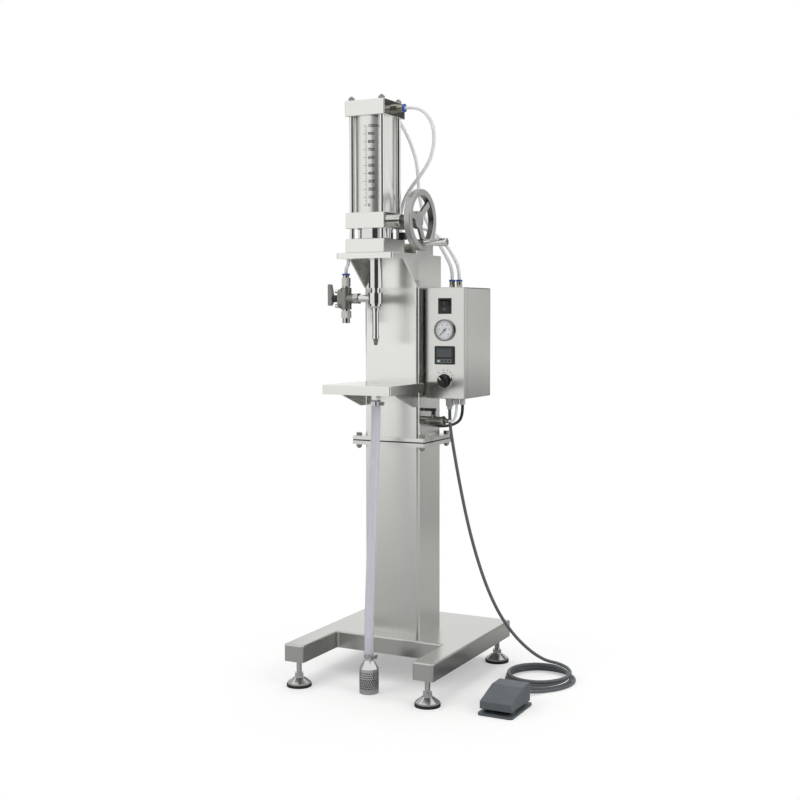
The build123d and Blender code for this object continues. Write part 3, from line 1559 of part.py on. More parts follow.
# Control box: shell open to the front, on four spacers against the column
box_body_depth = box_rear - cover_rear
spacer_ys = (cover_rear + spacer_d, column_rear - column_corner - spacer_d / 2)
spacer_zs = (box_bottom_z + spacer_inset, box_top_z - spacer_inset)
with BuildPart() as control_box:
    with BuildSketch(Plane.XZ.offset(-cover_rear)):
        with Locations((box_middle, (box_top_z + box_bottom_z) / 2)):
            RectangleRounded(box_width, box_height, box_corner)
    extrude(amount=-box_body_depth)
    chamfer(control_box.faces().sort_by(Axis.Y)[0].outer_wire().edges(), box_seam)
    with BuildSketch(Plane.XZ.offset(-cover_rear)):
        with Locations((box_middle, (box_top_z + box_bottom_z) / 2)):
            Rectangle(box_width - 2 * box_wall, box_height - 2 * box_wall)
    extrude(amount=box_wall - box_body_depth, mode=Mode.SUBTRACT)
    with BuildSketch(Plane.YZ.offset(column_side)):
        with Locations(*[(y, z) for y in spacer_ys for z in spacer_zs]):
            Circle(spacer_d / 2)
    extrude(amount=box_gap)
    with BuildSketch(Plane.XY.offset(box_bottom_z)):
        with Locations((box_middle, gland_y)):
            Circle(cable_d / 2 + seat_gap)
    extrude(amount=box_wall, mode=Mode.SUBTRACT)
control_box.part.label = "control_box"
export_step(control_box.part, "parts/control_box.step")

# Front cover: a tray with the openings for its devices
bezel_width = rocker_width + 2 * rocker_side_room + 2 * bezel_rim
bezel_height = rocker_height + 2 * rocker_room + 2 * bezel_rim
bezel_body_width = bezel_width - bezel_rim
bezel_body_height = bezel_height - bezel_rim
timer_body_width = timer_width - 2 * timer_rim
timer_body_height = timer_height - 2 * timer_rim
with BuildPart() as control_panel:
    with BuildSketch(Plane.XZ.offset(-box_front)):
        with Locations((box_middle, (box_top_z + box_bottom_z) / 2)):
            RectangleRounded(box_width, box_height, box_corner)
    extrude(amount=-cover_depth)
    fillet(control_panel.faces().sort_by(Axis.Y)[0].outer_wire().edges(), cover_round)
    with BuildSketch(Plane.XZ.offset(-cover_rear)):
        with Locations((box_middle, (box_top_z + box_bottom_z) / 2)):
            Rectangle(box_width - 2 * box_wall, box_height - 2 * box_wall)
    extrude(amount=cover_depth - box_wall, mode=Mode.SUBTRACT)
    with BuildSketch(panel_plane(rocker_drop, 0)):
        Rectangle(bezel_body_width + 2 * running_gap, bezel_body_height + 2 * running_gap)
    extrude(amount=-box_wall, mode=Mode.SUBTRACT)
    with BuildSketch(panel_plane(gauge_drop, 0)):
        Circle(gauge_body_d / 2 + running_gap)
    extrude(amount=-box_wall, mode=Mode.SUBTRACT)
    with BuildSketch(panel_plane(timer_drop, 0)):
        Rectangle(timer_body_width + 2 * running_gap, timer_body_height + 2 * running_gap)
    extrude(amount=-box_wall, mode=Mode.SUBTRACT)
    with BuildSketch(panel_plane(knob_drop, 0)):
        Circle(knob_shaft_d / 2 + running_gap)
    extrude(amount=-box_wall, mode=Mode.SUBTRACT)
control_panel.part.label = "control_panel"
export_step(control_panel.part, "parts/control_panel.step")

# Frame of the rocker switch, with the axle's holes in its side walls
rocker_axle_y = box_front + rocker_axle_depth
rocker_z = box_top_z - rocker_drop
rocker_axle_half = rocker_width / 2 + rocker_side_room + rocker_axle_end
with BuildPart() as switch_bezel:
    with BuildSketch(panel_plane(rocker_drop, 0)):
        Rectangle(bezel_width, bezel_height)
    extrude(amount=bezel_proud)
    with BuildSketch(panel_plane(rocker_drop, 0)):
        Rectangle(bezel_body_width, bezel_body_height)
    extrude(amount=-bezel_depth)
    with BuildSketch(panel_plane(rocker_drop, bezel_proud)):
        Rectangle(rocker_width + 2 * rocker_side_room, rocker_height + 2 * rocker_room)
    extrude(amount=box_wall - bezel_depth - bezel_proud, mode=Mode.SUBTRACT)
    with BuildSketch(Plane(origin=(box_middle, rocker_axle_y, rocker_z), z_dir=(1, 0, 0))):
        Circle(rocker_axle_d / 2 + running_gap)
    extrude(amount=rocker_axle_half + running_gap, both=True, mode=Mode.SUBTRACT)
switch_bezel.part.label = "switch_bezel"
export_step(switch_bezel.part, "parts/switch_bezel.step")

# Rocker on its axle, tilted as it rests
rocker_plane = Plane(
    origin=(box_middle, rocker_axle_y, rocker_z),
    x_dir=(0, cos(radians(rocker_tilt)), sin(radians(rocker_tilt))),
    z_dir=(1, 0, 0),
)
with BuildPart() as rocker:
    with BuildSketch(rocker_plane):
        with BuildLine():
            Polyline(
                (-rocker_waist, 0),
                (-rocker_crown, rocker_height / 2),
                (0, rocker_height / 2),
                (rocker_back, rocker_back_height / 2),
                (rocker_back, -rocker_back_height / 2),
                (0, -rocker_height / 2),
                (-rocker_crown, -rocker_height / 2),
                close=True,
            )
        make_face()
    extrude(amount=rocker_width / 2, both=True)
    with BuildSketch(rocker_plane):
        Circle(rocker_axle_d / 2)
    extrude(amount=rocker_axle_half, both=True)
rocker.part.label = "rocker"
export_step(rocker.part, "parts/rocker.step")

# Gauge case with its bezel, recess and needle post
recess_r = gauge_d / 2 - gauge_rim
recess_proud = gauge_proud - gauge_recess
with BuildPart() as gauge_case:
    with BuildSketch(panel_plane(gauge_drop, 0)):
        Circle(gauge_d / 2)
    extrude(amount=gauge_proud)
    with BuildSketch(panel_plane(gauge_drop, 0)):
        Circle(gauge_body_d / 2)
    extrude(amount=-gauge_body_depth)
    with BuildSketch(panel_plane(gauge_drop, -gauge_body_depth)):
        Circle(gauge_stub_d / 2)
    extrude(amount=-gauge_stub)
    with BuildSketch(panel_plane(gauge_drop, gauge_proud)):
        Circle(recess_r)
    extrude(amount=-gauge_recess, mode=Mode.SUBTRACT)
    with BuildSketch(panel_plane(gauge_drop, recess_proud)):
        Circle(needle_post_d / 2)
    extrude(amount=needle_lift + needle_thickness)
gauge_case.part.label = "gauge_case"
export_step(gauge_case.part, "parts/gauge_case.step")

# Needle on its post
needle_middle = (needle_length - needle_tail) / 2
needle_plane = Plane(
    origin=panel_plane(gauge_drop, recess_proud + needle_lift).origin,
    x_dir=(cos(radians(needle_angle)), 0, sin(radians(needle_angle))),
    z_dir=(0, -1, 0),
)
with BuildPart() as gauge_needle:
    with BuildSketch(needle_plane):
        Circle(needle_hub_d / 2)
        with Locations((needle_middle, 0)):
            Rectangle(needle_length + needle_tail, needle_width)
        Circle(needle_post_d / 2 + running_gap, mode=Mode.SUBTRACT)
    extrude(amount=needle_thickness)
gauge_needle.part.label = "gauge_needle"
export_step(gauge_needle.part, "parts/gauge_needle.step")

# Clear lens at the front of the gauge
with BuildPart() as gauge_lens:
    with BuildSketch(panel_plane(gauge_drop, gauge_proud)):
        Circle(recess_r)
    extrude(amount=-lens_thickness)
gauge_lens.part.label = "gauge_lens"
export_step(gauge_lens.part, "parts/gauge_lens.step")

# Timer with its window and four membrane keys
with BuildPart() as timer_case:
    with BuildSketch(panel_plane(timer_drop, 0)):
        RectangleRounded(timer_width, timer_height, timer_rim)
    extrude(amount=timer_proud)
    with BuildSketch(panel_plane(timer_drop, 0)):
        Rectangle(timer_body_width, timer_body_height)
    extrude(amount=-timer_depth)
    with BuildSketch(panel_plane(timer_drop, timer_proud)):
        with Locations((0, timer_window_rise)):
            Rectangle(timer_window_width, timer_window_height)
    extrude(amount=-timer_window_depth, mode=Mode.SUBTRACT)
    with BuildSketch(panel_plane(timer_drop, timer_proud)):
        with Locations((0, -timer_key_fall)):
            with GridLocations(timer_key_pitch, 0, 4, 1):
                Rectangle(timer_key_width, timer_key_height)
    extrude(amount=timer_key_proud)
timer_case.part.label = "timer_case"
export_step(timer_case.part, "parts/timer_case.step")

# Ring around the selector knob
with BuildPart() as selector_ring:
    with BuildSketch(panel_plane(knob_drop, 0)):
        Circle(knob_ring_d / 2)
        Circle(knob_skirt_d / 2 + seat_gap, mode=Mode.SUBTRACT)
    extrude(amount=knob_ring)
    chamfer(selector_ring.faces().sort_by(Axis.Y)[0].outer_wire().edges(), knob_ring_edge)
selector_ring.part.label = "selector_ring"
export_step(selector_ring.part, "parts/selector_ring.step")

# Selector knob on its shaft, with the ridge that points to a setting
ridge_plane = Plane(
    origin=panel_plane(knob_drop, seat_gap + knob_skirt + knob_height).origin,
    x_dir=(cos(radians(knob_angle)), 0, sin(radians(knob_angle))),
    z_dir=(0, -1, 0),
)
with BuildPart() as selector_knob:
    with BuildSketch(panel_plane(knob_drop, seat_gap)):
        Circle(knob_skirt_d / 2)
    extrude(amount=knob_skirt)
    with BuildSketch(panel_plane(knob_drop, seat_gap + knob_skirt)):
        Circle(knob_d / 2)
    extrude(amount=knob_height)
    with BuildSketch(ridge_plane):
        Rectangle(knob_d - knob_ridge_width / 2, knob_ridge_width)
    extrude(amount=knob_ridge)
    with BuildSketch(panel_plane(knob_drop, seat_gap)):
        Circle(knob_shaft_d / 2)
    extrude(amount=-knob_shaft)
selector_knob.part.label = "selector_knob"
export_step(selector_knob.part, "parts/selector_knob.step")

# Solenoid valve on the rear wall inside the control box
solenoid_z = box_top_z - solenoid_drop
solenoid_y = box_rear - box_wall - solenoid_depth / 2
with BuildPart() as solenoid_valve:
    with BuildSketch(Plane.XY.offset(solenoid_z - solenoid_height / 2)):
        with Locations((box_middle, solenoid_y)):
            Rectangle(solenoid_width, solenoid_depth)
    extrude(amount=solenoid_height)
    with BuildSketch(Plane.XY.offset(solenoid_z + solenoid_height / 2)):
        with Locations((box_middle, solenoid_y)):
            Circle(solenoid_coil_width / 2)
    extrude(amount=solenoid_coil_height)
solenoid_valve.part.label = "solenoid_valve"
export_step(solenoid_valve.part, "parts/solenoid_valve.step")

# Cable gland and two tube ports under the control box
with BuildPart() as cable_gland:
    with BuildSketch(Plane.XY.offset(box_bottom_z)):
        with Locations((box_middle, gland_y)):
            Circle(gland_d / 2)
    extrude(amount=-gland_flange)
    with BuildSketch(Plane.XY.offset(gland_cap_z)):
        with Locations((box_middle, gland_y)):
            RegularPolygon(gland_hex_across / 2, 6, major_radius=False)
    extrude(amount=-gland_cap)
    with BuildSketch(Plane.XY.offset(gland_mouth_z)):
        with Locations((box_middle, gland_y)):
            Circle(gland_mouth_d / 2)
    extrude(amount=-gland_mouth)
    with BuildSketch(Plane.XY.offset(box_bottom_z)):
        with Locations((box_middle + port_1_offset, gland_y), (box_middle + port_2_offset, gland_y)):
            Circle(port_d / 2)
    extrude(amount=-port_height)
cable_gland.part.label = "cable_gland"
export_step(cable_gland.part, "parts/cable_gland.step")

# Ball valve on the column's right side
ball_plane = Plane(origin=(column_side, ball_valve_y, ball_valve_z), z_dir=(1, 0, 0))
lever_place = (lever_x, ball_valve_y)
with BuildPart() as ball_valve_body:
    with BuildSketch(ball_plane):
        Circle(ball_body_d / 2)
    extrude(amount=ball_body)
    for groove in range(ball_groove_count):
        with BuildSketch(ball_plane.offset(ball_groove_start + groove * ball_groove_pitch)):
            Circle(ball_body_d)
            Circle(ball_body_d / 2 - ball_groove_depth, mode=Mode.SUBTRACT)
        extrude(amount=ball_groove_width, mode=Mode.SUBTRACT)
    with BuildSketch(ball_plane.offset(ball_body)):
        RegularPolygon(ball_nut_across / 2, 6, major_radius=False)
    extrude(amount=ball_nut)
    with BuildSketch(ball_plane.offset(ball_body + ball_nut)):
        Circle(ball_port_d / 2)
    extrude(amount=ball_port)
    with BuildSketch(Plane.XY.offset(ball_valve_z)):
        with Locations(lever_place):
            Circle(lever_bonnet_d / 2)
    extrude(amount=lever_bonnet_rise)
    with BuildSketch(Plane.XY.offset(lever_bonnet_z)):
        with Locations(lever_place):
            Circle(lever_stem_d / 2 + running_gap)
    extrude(amount=-lever_socket - seat_gap, mode=Mode.SUBTRACT)
ball_valve_body.part.label = "ball_valve_body"
export_step(ball_valve_body.part, "parts/ball_valve_body.step")

# Lever with its boss and stem
with BuildPart() as ball_valve_lever:
    with BuildSketch(Plane.XY.offset(lever_z)):
        with Locations(lever_place):
            Circle(lever_hub_d / 2)
        with Locations((lever_x - lever_length / 2, ball_valve_y)):
            SlotOverall(lever_length + lever_width / 2, lever_width)
    extrude(amount=lever_thickness)
    with BuildSketch(Plane.XY.offset(lever_boss_z)):
        with Locations(lever_place):
            Circle(lever_boss_d / 2)
    extrude(amount=lever_z - lever_boss_z)
    with BuildSketch(Plane.XY.offset(lever_boss_z)):
        with Locations(lever_place):
            Circle(lever_stem_d / 2)
    extrude(amount=-lever_socket)
ball_valve_lever.part.label = "ball_valve_lever"
export_step(ball_valve_lever.part, "parts/ball_valve_lever.step")

# Pedal cable hanging from the gland to the coil
print_radii("cable_drop", cable_route, cable_d)
with BuildPart() as cable_drop:
    with BuildLine() as cable_path:
        FilletPolyline(*cable_route, radius=corner_radii(cable_route))
    with BuildSketch(Plane(origin=cable_path.line @ 0, z_dir=cable_path.line % 0)) as cable_section:
        Circle(cable_d / 2)
    sweep()
report_cord("cable_drop", cable_path.line, cable_drop.part, cable_section.sketch.area)
cable_drop.part.label = "cable_drop"
export_step(cable_drop.part, "parts/cable_drop.step")

# Outer shape of the cable's coil on the floor
with BuildPart() as cable_coil:
    with BuildSketch(Plane.XY):
        with Locations((coil_x, coil_y)):
            Circle(coil_outer_r)
            Circle(coil_inner_r, mode=Mode.SUBTRACT)
    extrude(amount=coil_height)
    fillet(cable_coil.edges().filter_by(GeomType.CIRCLE), coil_round)
cable_coil.part.label = "cable_coil"
export_step(cable_coil.part, "parts/cable_coil.step")

# Pedal cable from the coil to the pedal
print_radii("cable_tail", tail_route, cable_d)
with BuildPart() as cable_tail:
    with BuildLine() as tail_path:
        FilletPolyline(*tail_route, radius=corner_radii(tail_route))
    with BuildSketch(Plane(origin=tail_path.line @ 0, z_dir=tail_path.line % 0)) as tail_section:
        Circle(cable_d / 2)
    sweep()
report_cord("cable_tail", tail_path.line, cable_tail.part, tail_section.sketch.area)
cable_tail.part.label = "cable_tail"
export_step(cable_tail.part, "parts/cable_tail.step")

# Pedal base: plate, two ears with the treadle's pins, and the cable's strain relief
ear_x = treadle_width / 2 - treadle_wall - seat_gap - ear_thickness / 2
relief_y = pedal_rear_y - relief_length / 2
with BuildPart() as pedal_base:
    with BuildSketch(Plane.XY):
        with Locations((pedal_x, (pedal_front_y + pedal_rear_y) / 2)):
            RectangleRounded(pedal_width, pedal_length, pedal_corner)
    extrude(amount=pedal_plate)
    with BuildSketch(Plane.XY.offset(pedal_plate)):
        with Locations((pedal_x - ear_x, pedal_pin_y), (pedal_x + ear_x, pedal_pin_y)):
            Rectangle(ear_thickness, ear_length)
    extrude(amount=pedal_pin_z + ear_crown - pedal_plate)
    for side in (-1, 1):
        pin_place = (pedal_x + side * ear_x, pedal_pin_y, pedal_pin_z)
        with BuildSketch(Plane(origin=pin_place, z_dir=(side, 0, 0))):
            Circle(pedal_pin_d / 2)
        extrude(amount=treadle_width / 2 - ear_x)
    with BuildSketch(Plane.XY.offset(pedal_plate)):
        with Locations((pedal_x, relief_y)):
            Rectangle(relief_width, relief_length)
    extrude(amount=relief_height)
    with BuildSketch(Plane(origin=(pedal_x, pedal_rear_y, relief_z), z_dir=(0, 1, 0))):
        Circle(relief_d / 2)
    extrude(amount=relief_reach)
pedal_base.part.label = "pedal_base"
export_step(pedal_base.part, "parts/pedal_base.step")

# Treadle: a hood, open below, that rocks on the base's pins
treadle_outline = [
    (treadle_front_y, treadle_front_bottom),
    (treadle_front_y, treadle_front_top),
    (treadle_front_y + treadle_slope, treadle_top),
    (treadle_rear_y, treadle_top),
    (treadle_rear_y, treadle_rear_bottom),
]
with BuildPart() as pedal_treadle:
    with BuildSketch(Plane.YZ.offset(pedal_x)):
        with BuildLine():
            Polyline(*treadle_outline, close=True)
        make_face()
    extrude(amount=treadle_width / 2, both=True)
    under_edges = pedal_treadle.faces().sort_by(Axis.Z)[0].edges()
    fillet(pedal_treadle.edges() - under_edges, treadle_round)
    with BuildSketch(Plane.YZ.offset(pedal_x)):
        with BuildLine():
            Polyline(
                (treadle_front_y + treadle_wall, 0),
                (treadle_front_y + treadle_wall, treadle_front_top - treadle_wall),
                (treadle_front_y + treadle_slope, treadle_top - treadle_wall),
                (treadle_rear_y - treadle_wall, treadle_top - treadle_wall),
                (treadle_rear_y - treadle_wall, 0),
                close=True,
            )
        make_face()
    extrude(amount=treadle_width / 2 - treadle_wall, both=True, mode=Mode.SUBTRACT)
    with BuildSketch(Plane.YZ.offset(pedal_x)):
        with Locations((pedal_pin_y, pedal_pin_z)):
            Circle(pedal_pin_d / 2 + running_gap)
    extrude(amount=treadle_width / 2, both=True, mode=Mode.SUBTRACT)
    with BuildSketch(Plane.XZ.offset(-treadle_rear_y)):
        with Locations((pedal_x, notch_top / 2)):
            Rectangle(relief_width + 2 * notch_room, notch_top)
    extrude(amount=treadle_wall, mode=Mode.SUBTRACT)
pedal_treadle.part.label = "pedal_treadle"
export_step(pedal_treadle.part, "parts/pedal_treadle.step")

# Switch under the treadle
switch_y = pedal_front_y + switch_back
with BuildPart() as pedal_switch:
    with BuildSketch(Plane.XY.offset(pedal_plate)):
        with Locations((pedal_x, switch_y)):
            Rectangle(switch_width, switch_length)
    extrude(amount=switch_height)
    with BuildSketch(Plane.XY.offset(pedal_plate + switch_height)):
        with Locations((pedal_x, switch_y)):
            Circle(plunger_d / 2)
    extrude(amount=plunger)
pedal_switch.part.label = "pedal_switch"
export_step(pedal_switch.part, "parts/pedal_switch.step")

# Return spring between the pedal's plate and the treadle
with BuildPart() as pedal_spring:
    with BuildSketch(Plane.XY.offset(pedal_plate)):
        with Locations((pedal_x, pedal_front_y + spring_back)):
            Circle(spring_d / 2)
            Circle(spring_bore / 2, mode=Mode.SUBTRACT)
    extrude(amount=treadle_top - treadle_wall - pedal_plate)
pedal_spring.part.label = "pedal_spring"
export_step(pedal_spring.part, "parts/pedal_spring.step")
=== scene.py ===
from functools import partial
from math import cos, pi, radians, sin

import bpy
from mathutils import Matrix, Vector


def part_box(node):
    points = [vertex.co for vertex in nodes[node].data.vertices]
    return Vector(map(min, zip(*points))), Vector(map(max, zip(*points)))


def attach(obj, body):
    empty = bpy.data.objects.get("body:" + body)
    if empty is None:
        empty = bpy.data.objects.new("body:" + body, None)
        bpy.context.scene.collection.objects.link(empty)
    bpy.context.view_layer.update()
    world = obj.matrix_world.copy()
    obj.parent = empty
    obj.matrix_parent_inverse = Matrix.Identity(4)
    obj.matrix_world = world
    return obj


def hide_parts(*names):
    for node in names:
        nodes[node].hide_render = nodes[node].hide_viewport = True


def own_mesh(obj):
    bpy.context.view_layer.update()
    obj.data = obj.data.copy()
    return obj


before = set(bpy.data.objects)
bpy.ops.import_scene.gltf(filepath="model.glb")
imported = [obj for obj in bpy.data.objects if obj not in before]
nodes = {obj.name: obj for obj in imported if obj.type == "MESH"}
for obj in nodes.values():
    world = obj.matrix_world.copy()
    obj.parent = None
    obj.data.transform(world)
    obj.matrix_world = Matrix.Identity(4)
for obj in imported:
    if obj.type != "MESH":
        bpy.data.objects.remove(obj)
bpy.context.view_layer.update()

bl_info = {
    "name": "Liquid filling machine",
    "version": (1, 0, 0),
    "blender": (4, 5, 0),
    "location": "3D View > Sidebar > Filler",
    "description": "Adds the tubes, scale, dial, display, marks and finishes of a liquid filling machine",
    "category": "Object",
}


def middle_of(node):
    """Middle of a solid's box."""
    return tuple((low + high) / 2 for low, high in zip(*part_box(node)))


# Places that follow from the solids, in metres
tube_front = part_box("cylinder_tube")[0][1]
panel_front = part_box("control_panel")[0][1]
panel_middle = middle_of("control_panel")[0]
gauge_z = middle_of("gauge_case")[2]
timer_z = middle_of("timer_case")[2]
knob_z = middle_of("selector_knob")[2]
rocker_z = middle_of("rocker")[2]


def linear(hex_value):
    """Linear red, green and blue of an sRGB hex value."""
    channels = [int(hex_value[start:start + 2], 16) / 255 for start in (1, 3, 5)]
    return tuple(c / 12.92 if c <= 0.04045 else ((c + 0.055) / 1.055) ** 2.4 for c in channels)


def number_setting(name, description, default, unit="LENGTH"):
    """Setting of a number, which is a length in metres unless it has another unit."""
    return bpy.props.FloatProperty(name=name, description=description, default=default, unit=unit)


def colour_setting(name, description, hex_value):
    """Setting of a colour, from its sRGB hex value."""
    return bpy.props.FloatVectorProperty(
        name=name, description=description, default=linear(hex_value), subtype="COLOR")


class FillerStageSettings(bpy.types.PropertyGroup):
    """Camera, floor and light."""

    camera_place: bpy.props.FloatVectorProperty(
        name="Camera place", description="Where the camera stands", default=(1.3263, -2.5967, 0.8444),
        subtype="TRANSLATION", unit="LENGTH")
    camera_turn: bpy.props.FloatVectorProperty(
        name="Camera turn", description="How the camera is turned", default=(1.50168, 0.00147, 0.47455),
        subtype="EULER", unit="ROTATION")
    camera_lens: number_setting("Lens", "Focal length on a 36 mm sensor", 55.87, "CAMERA")
    floor_colour: colour_setting("Floor colour", "Colour of the floor", "#fbfbfa")
    floor_clear: number_setting("Floor fade", "Distance at which the floor turns into the background", 0.7)
    fill_strength: number_setting(
        "Fill light", "Strength of the surrounding light on matt surfaces", 0.5, "NONE")
    key_power: number_setting("Key lamp", "Power of the large lamp at the front left", 24.0, "POWER")
    top_power: number_setting("Top lamp", "Power of the large lamp overhead", 48.0, "POWER")
    side_power: number_setting("Side lamp", "Power of the lamp at the right", 16.0, "POWER")


class FillerCordSettings(bpy.types.PropertyGroup):
    """Sizes and colours of the tubes, the hose and the cable."""

    air_tube_diameter: number_setting("Air tube", "Outer diameter of the air tubes", 0.008)
    valve_tube_diameter: number_setting("Valve tube", "Outer diameter of the tube to the ball valve", 0.006)
    supply_diameter: number_setting("Supply hose", "Outer diameter of the black supply hose", 0.007)
    hose_diameter: number_setting("Suction hose", "Outer diameter of the suction hose", 0.021)
    cable_diameter: number_setting("Pedal cable", "Outer diameter of the pedal cable", 0.0075)
    tubing_colour: colour_setting("Air tubing", "Colour of the milky air tubes", "#eef0f2")
    hose_colour: colour_setting("Hose", "Tint of the clear suction hose", "#dcd9e6")
    braid_colour: colour_setting("Braid", "Colour of the hose's braid", "#f4f4f6")
    cable_colour: colour_setting("Cable", "Colour of the pedal cable", "#5a5d60")


class FillerMarkSettings(bpy.types.PropertyGroup):
    """Sizes and colours of the printed marks."""

    digit_height: number_setting("Digits", "Height of the scale's digits", 0.0066)
    major_tick: number_setting("Long tick", "Length of the scale's long lines", 0.009)
    minor_tick: number_setting("Short tick", "Length of the scale's short lines", 0.005)
    tick_width: number_setting("Tick width", "Thickness of the scale's lines", 0.0009)
    scale_length: number_setting("Scale length", "From 0 to 1000 on the tube", 0.1722)
    ink_colour: colour_setting("Ink", "Colour of the printed scale", "#26282a")
    dial_colour: colour_setting("Dial", "Colour of the gauge's dial", "#eceef4")


class FillerFinishSettings(bpy.types.PropertyGroup):
    """Colours of the metal and plastic finishes."""

    stainless: colour_setting("Stainless sheet", "Light tone of the brushed sheet", "#ecece8")
    stainless_dark: colour_setting("Stainless grain", "Dark tone of the brushed sheet", "#e0e0db")
    box_sheet: colour_setting("Box sheet", "Light tone of the control box", "#d9d9d5")
    box_sheet_dark: colour_setting("Box grain", "Dark tone of the control box", "#cfcfcb")
    chrome: colour_setting("Bright steel", "Tone of the polished steel", "#e2e2e1")
    casting: colour_setting("Casting", "Tone of the cast valve", "#8d8d88")
    wheel: colour_setting("Wheel", "Tone of the handwheel", "#b4b4b2")
    collar: colour_setting("Collars", "Colour of the fittings' collars", "#2c4f9e")
    pedal: colour_setting("Pedal", "Colour of the foot pedal", "#545a5e")


def settings(name):
    """Settings of one group of pieces."""
    return getattr(bpy.context.scene, "filler_" + name)


def shade(colour, factor):
    """Colour made lighter or darker by a factor."""
    return tuple(min(channel * factor, 1.0) for channel in colour)


pure_white = (1.0, 1.0, 1.0)


def per_metre(size):
    """Scale of a pattern whose size is given in millimetres."""
    return 1000.0 / size


def add_node(tree, kind, *inputs, **values):
    """Add a shader node, its operation after its kind. Its first inputs follow in order, then options and
    other inputs by name, with _ for a space. A node given to an input stands for its first output. The
    inputs of MapRange are a value, the range that it comes from and the range that it goes to."""
    kind, _, operation = kind.partition(" ")
    node = tree.nodes.new("ShaderNode" + kind)
    if operation:
        node.operation = operation
    given = list(zip(node.inputs, inputs))
    for name, value in values.items():
        if hasattr(node, name):
            setattr(node, name, value)
            continue
        spoken = name.replace("_", " ")
        given.append((next(entry for entry in node.inputs if entry.enabled and entry.name == spoken), value))
    for socket, value in given:
        if isinstance(value, bpy.types.Node):
            value = next(entry for entry in value.outputs if entry.enabled)
        if isinstance(value, bpy.types.NodeSocket):
            tree.links.new(value, socket)
        elif socket.type == "RGBA":
            socket.default_value = (*value, 1.0)
        else:
            socket.default_value = value
    return node


def new_material(name, source="Object"):
    """Empty material, the function that adds a node to it, and the coordinates that it reads."""
    material = bpy.data.materials.new(name)
    material.use_nodes = True
    material.node_tree.nodes.clear()
    add = partial(add_node, material.node_tree)
    return material, add, add("TexCoord").outputs[source]


def close_material(material, shader):
    """Link a shader to the material's output."""
    add_node(material.node_tree, "OutputMaterial", shader)
    return material


def brushed_metal(name, light, dark, grain, roughness, spread=0.0, joint=None):
    """Metal with a belt's fine lines: grain is a streak's size in millimetres, spread its sideways shine, and
    the last argument the height in metres of a painted dark line of shade where the piece meets its
    neighbour."""
    material, add, place = new_material(name)
    streaks = add("Mapping", place, Scale=[per_metre(size) for size in grain])
    lines = add("TexNoise", streaks, Scale=1.0, Detail=4.0, Roughness=0.6)
    clouds = add("TexNoise", place, Scale=per_metre(160.0), Detail=2.0)
    mixed = add("Math MULTIPLY_ADD", clouds, 0.35, lines)
    tone = add("MapRange", mixed, 0.4, 0.95)
    colour = add("Mix", data_type="RGBA", Factor=tone, A=dark, B=light)
    if joint is not None:
        # Painted shade: a near-black line at this height stands for the shadowed gap between two flanges
        height = add("SeparateXYZ", place).outputs["Z"]
        line_half = 0.0013
        near = add("Math COMPARE", height, joint, line_half)
        colour = add("Mix", data_type="RGBA", Factor=near, A=colour, B=shade(dark, 0.1))
    gloss = add("MapRange", lines, 0.3, 0.7, roughness * 0.9, roughness * 1.12)
    relief = add("Bump", Strength=0.35, Distance=0.000008, Height=lines)
    shader = add(
        "BsdfPrincipled", Base_Color=colour, Metallic=1.0, Roughness=gloss, Normal=relief,
        Anisotropic=spread)
    return close_material(material, shader)


def polished_metal(name, light, roughness, smudge=30.0):
    """Polished metal: a clear reflection with faint wiping marks, whose size is in millimetres."""
    material, add, place = new_material(name)
    marks = add("TexNoise", place, Scale=per_metre(smudge), Detail=5.0, Roughness=0.65)
    tone = add("Mix", data_type="RGBA", Factor=marks, A=shade(light, 0.86), B=light)
    gloss = add("MapRange", marks, 0.35, 0.7, roughness * 0.7, roughness * 1.4)
    shader = add("BsdfPrincipled", Base_Color=tone, Metallic=1.0, Roughness=gloss)
    return close_material(material, shader)


def cast_metal(name, light, roughness, grain):
    """Cast metal: a dull grey skin with the sand mould's grain, in millimetres, and darker and lighter
    clouds.
    """
    material, add, place = new_material(name)
    skin = add("TexNoise", place, Scale=per_metre(grain), Detail=4.0, Roughness=0.7)
    clouds = add("TexNoise", place, Scale=per_metre(18.0), Detail=2.0)
    tone = add("Mix", data_type="RGBA", Factor=clouds, A=shade(light, 0.7), B=shade(light, 1.2))
    gloss = add("MapRange", skin, To_Min=roughness * 0.8, To_Max=roughness * 1.2)
    relief = add("Bump", Strength=0.5, Distance=0.0002, Height=skin)
    shader = add("BsdfPrincipled", Base_Color=tone, Metallic=0.9, Roughness=gloss, Normal=relief)
    return close_material(material, shader)


def moulded_plastic(name, colour, roughness, grain, depth=0.00005):
    """Moulded plastic or rubber: even, with the mould's fine grain, in millimetres, and slight clouds."""
    material, add, place = new_material(name)
    skin = add("TexNoise", place, Scale=per_metre(grain), Detail=3.0)
    clouds = add("TexNoise", place, Scale=per_metre(40.0), Detail=2.0)
    tone = add("Mix", data_type="RGBA", Factor=clouds, A=shade(colour, 0.85), B=shade(colour, 1.15))
    gloss = add("MapRange", skin, To_Min=roughness * 0.85, To_Max=roughness * 1.15)
    relief = add("Bump", Strength=0.3, Distance=depth, Height=skin)
    shader = add("BsdfPrincipled", Base_Color=tone, Roughness=gloss, Normal=relief, IOR=1.5)
    return close_material(material, shader)


def clear_plastic(name, colour, roughness, transmission, cover=1.0):
    """Clear or milky plastic with faint drawing lines along Z. Cover is the share that can be seen."""
    material, add, place = new_material(name)
    drawn = add("Mapping", place, Scale=[per_metre(size) for size in (4.0, 4.0, 90.0)])
    lines = add("TexNoise", drawn, Scale=1.0, Detail=3.0)
    tone = add("Mix", data_type="RGBA", Factor=lines, A=shade(colour, 0.94), B=colour)
    gloss = add("MapRange", lines, To_Min=roughness * 0.8, To_Max=roughness * 1.2)
    shader = add(
        "BsdfPrincipled", Base_Color=tone, Roughness=gloss, Transmission_Weight=transmission, IOR=1.49,
        Alpha=cover)
    return close_material(material, shader)


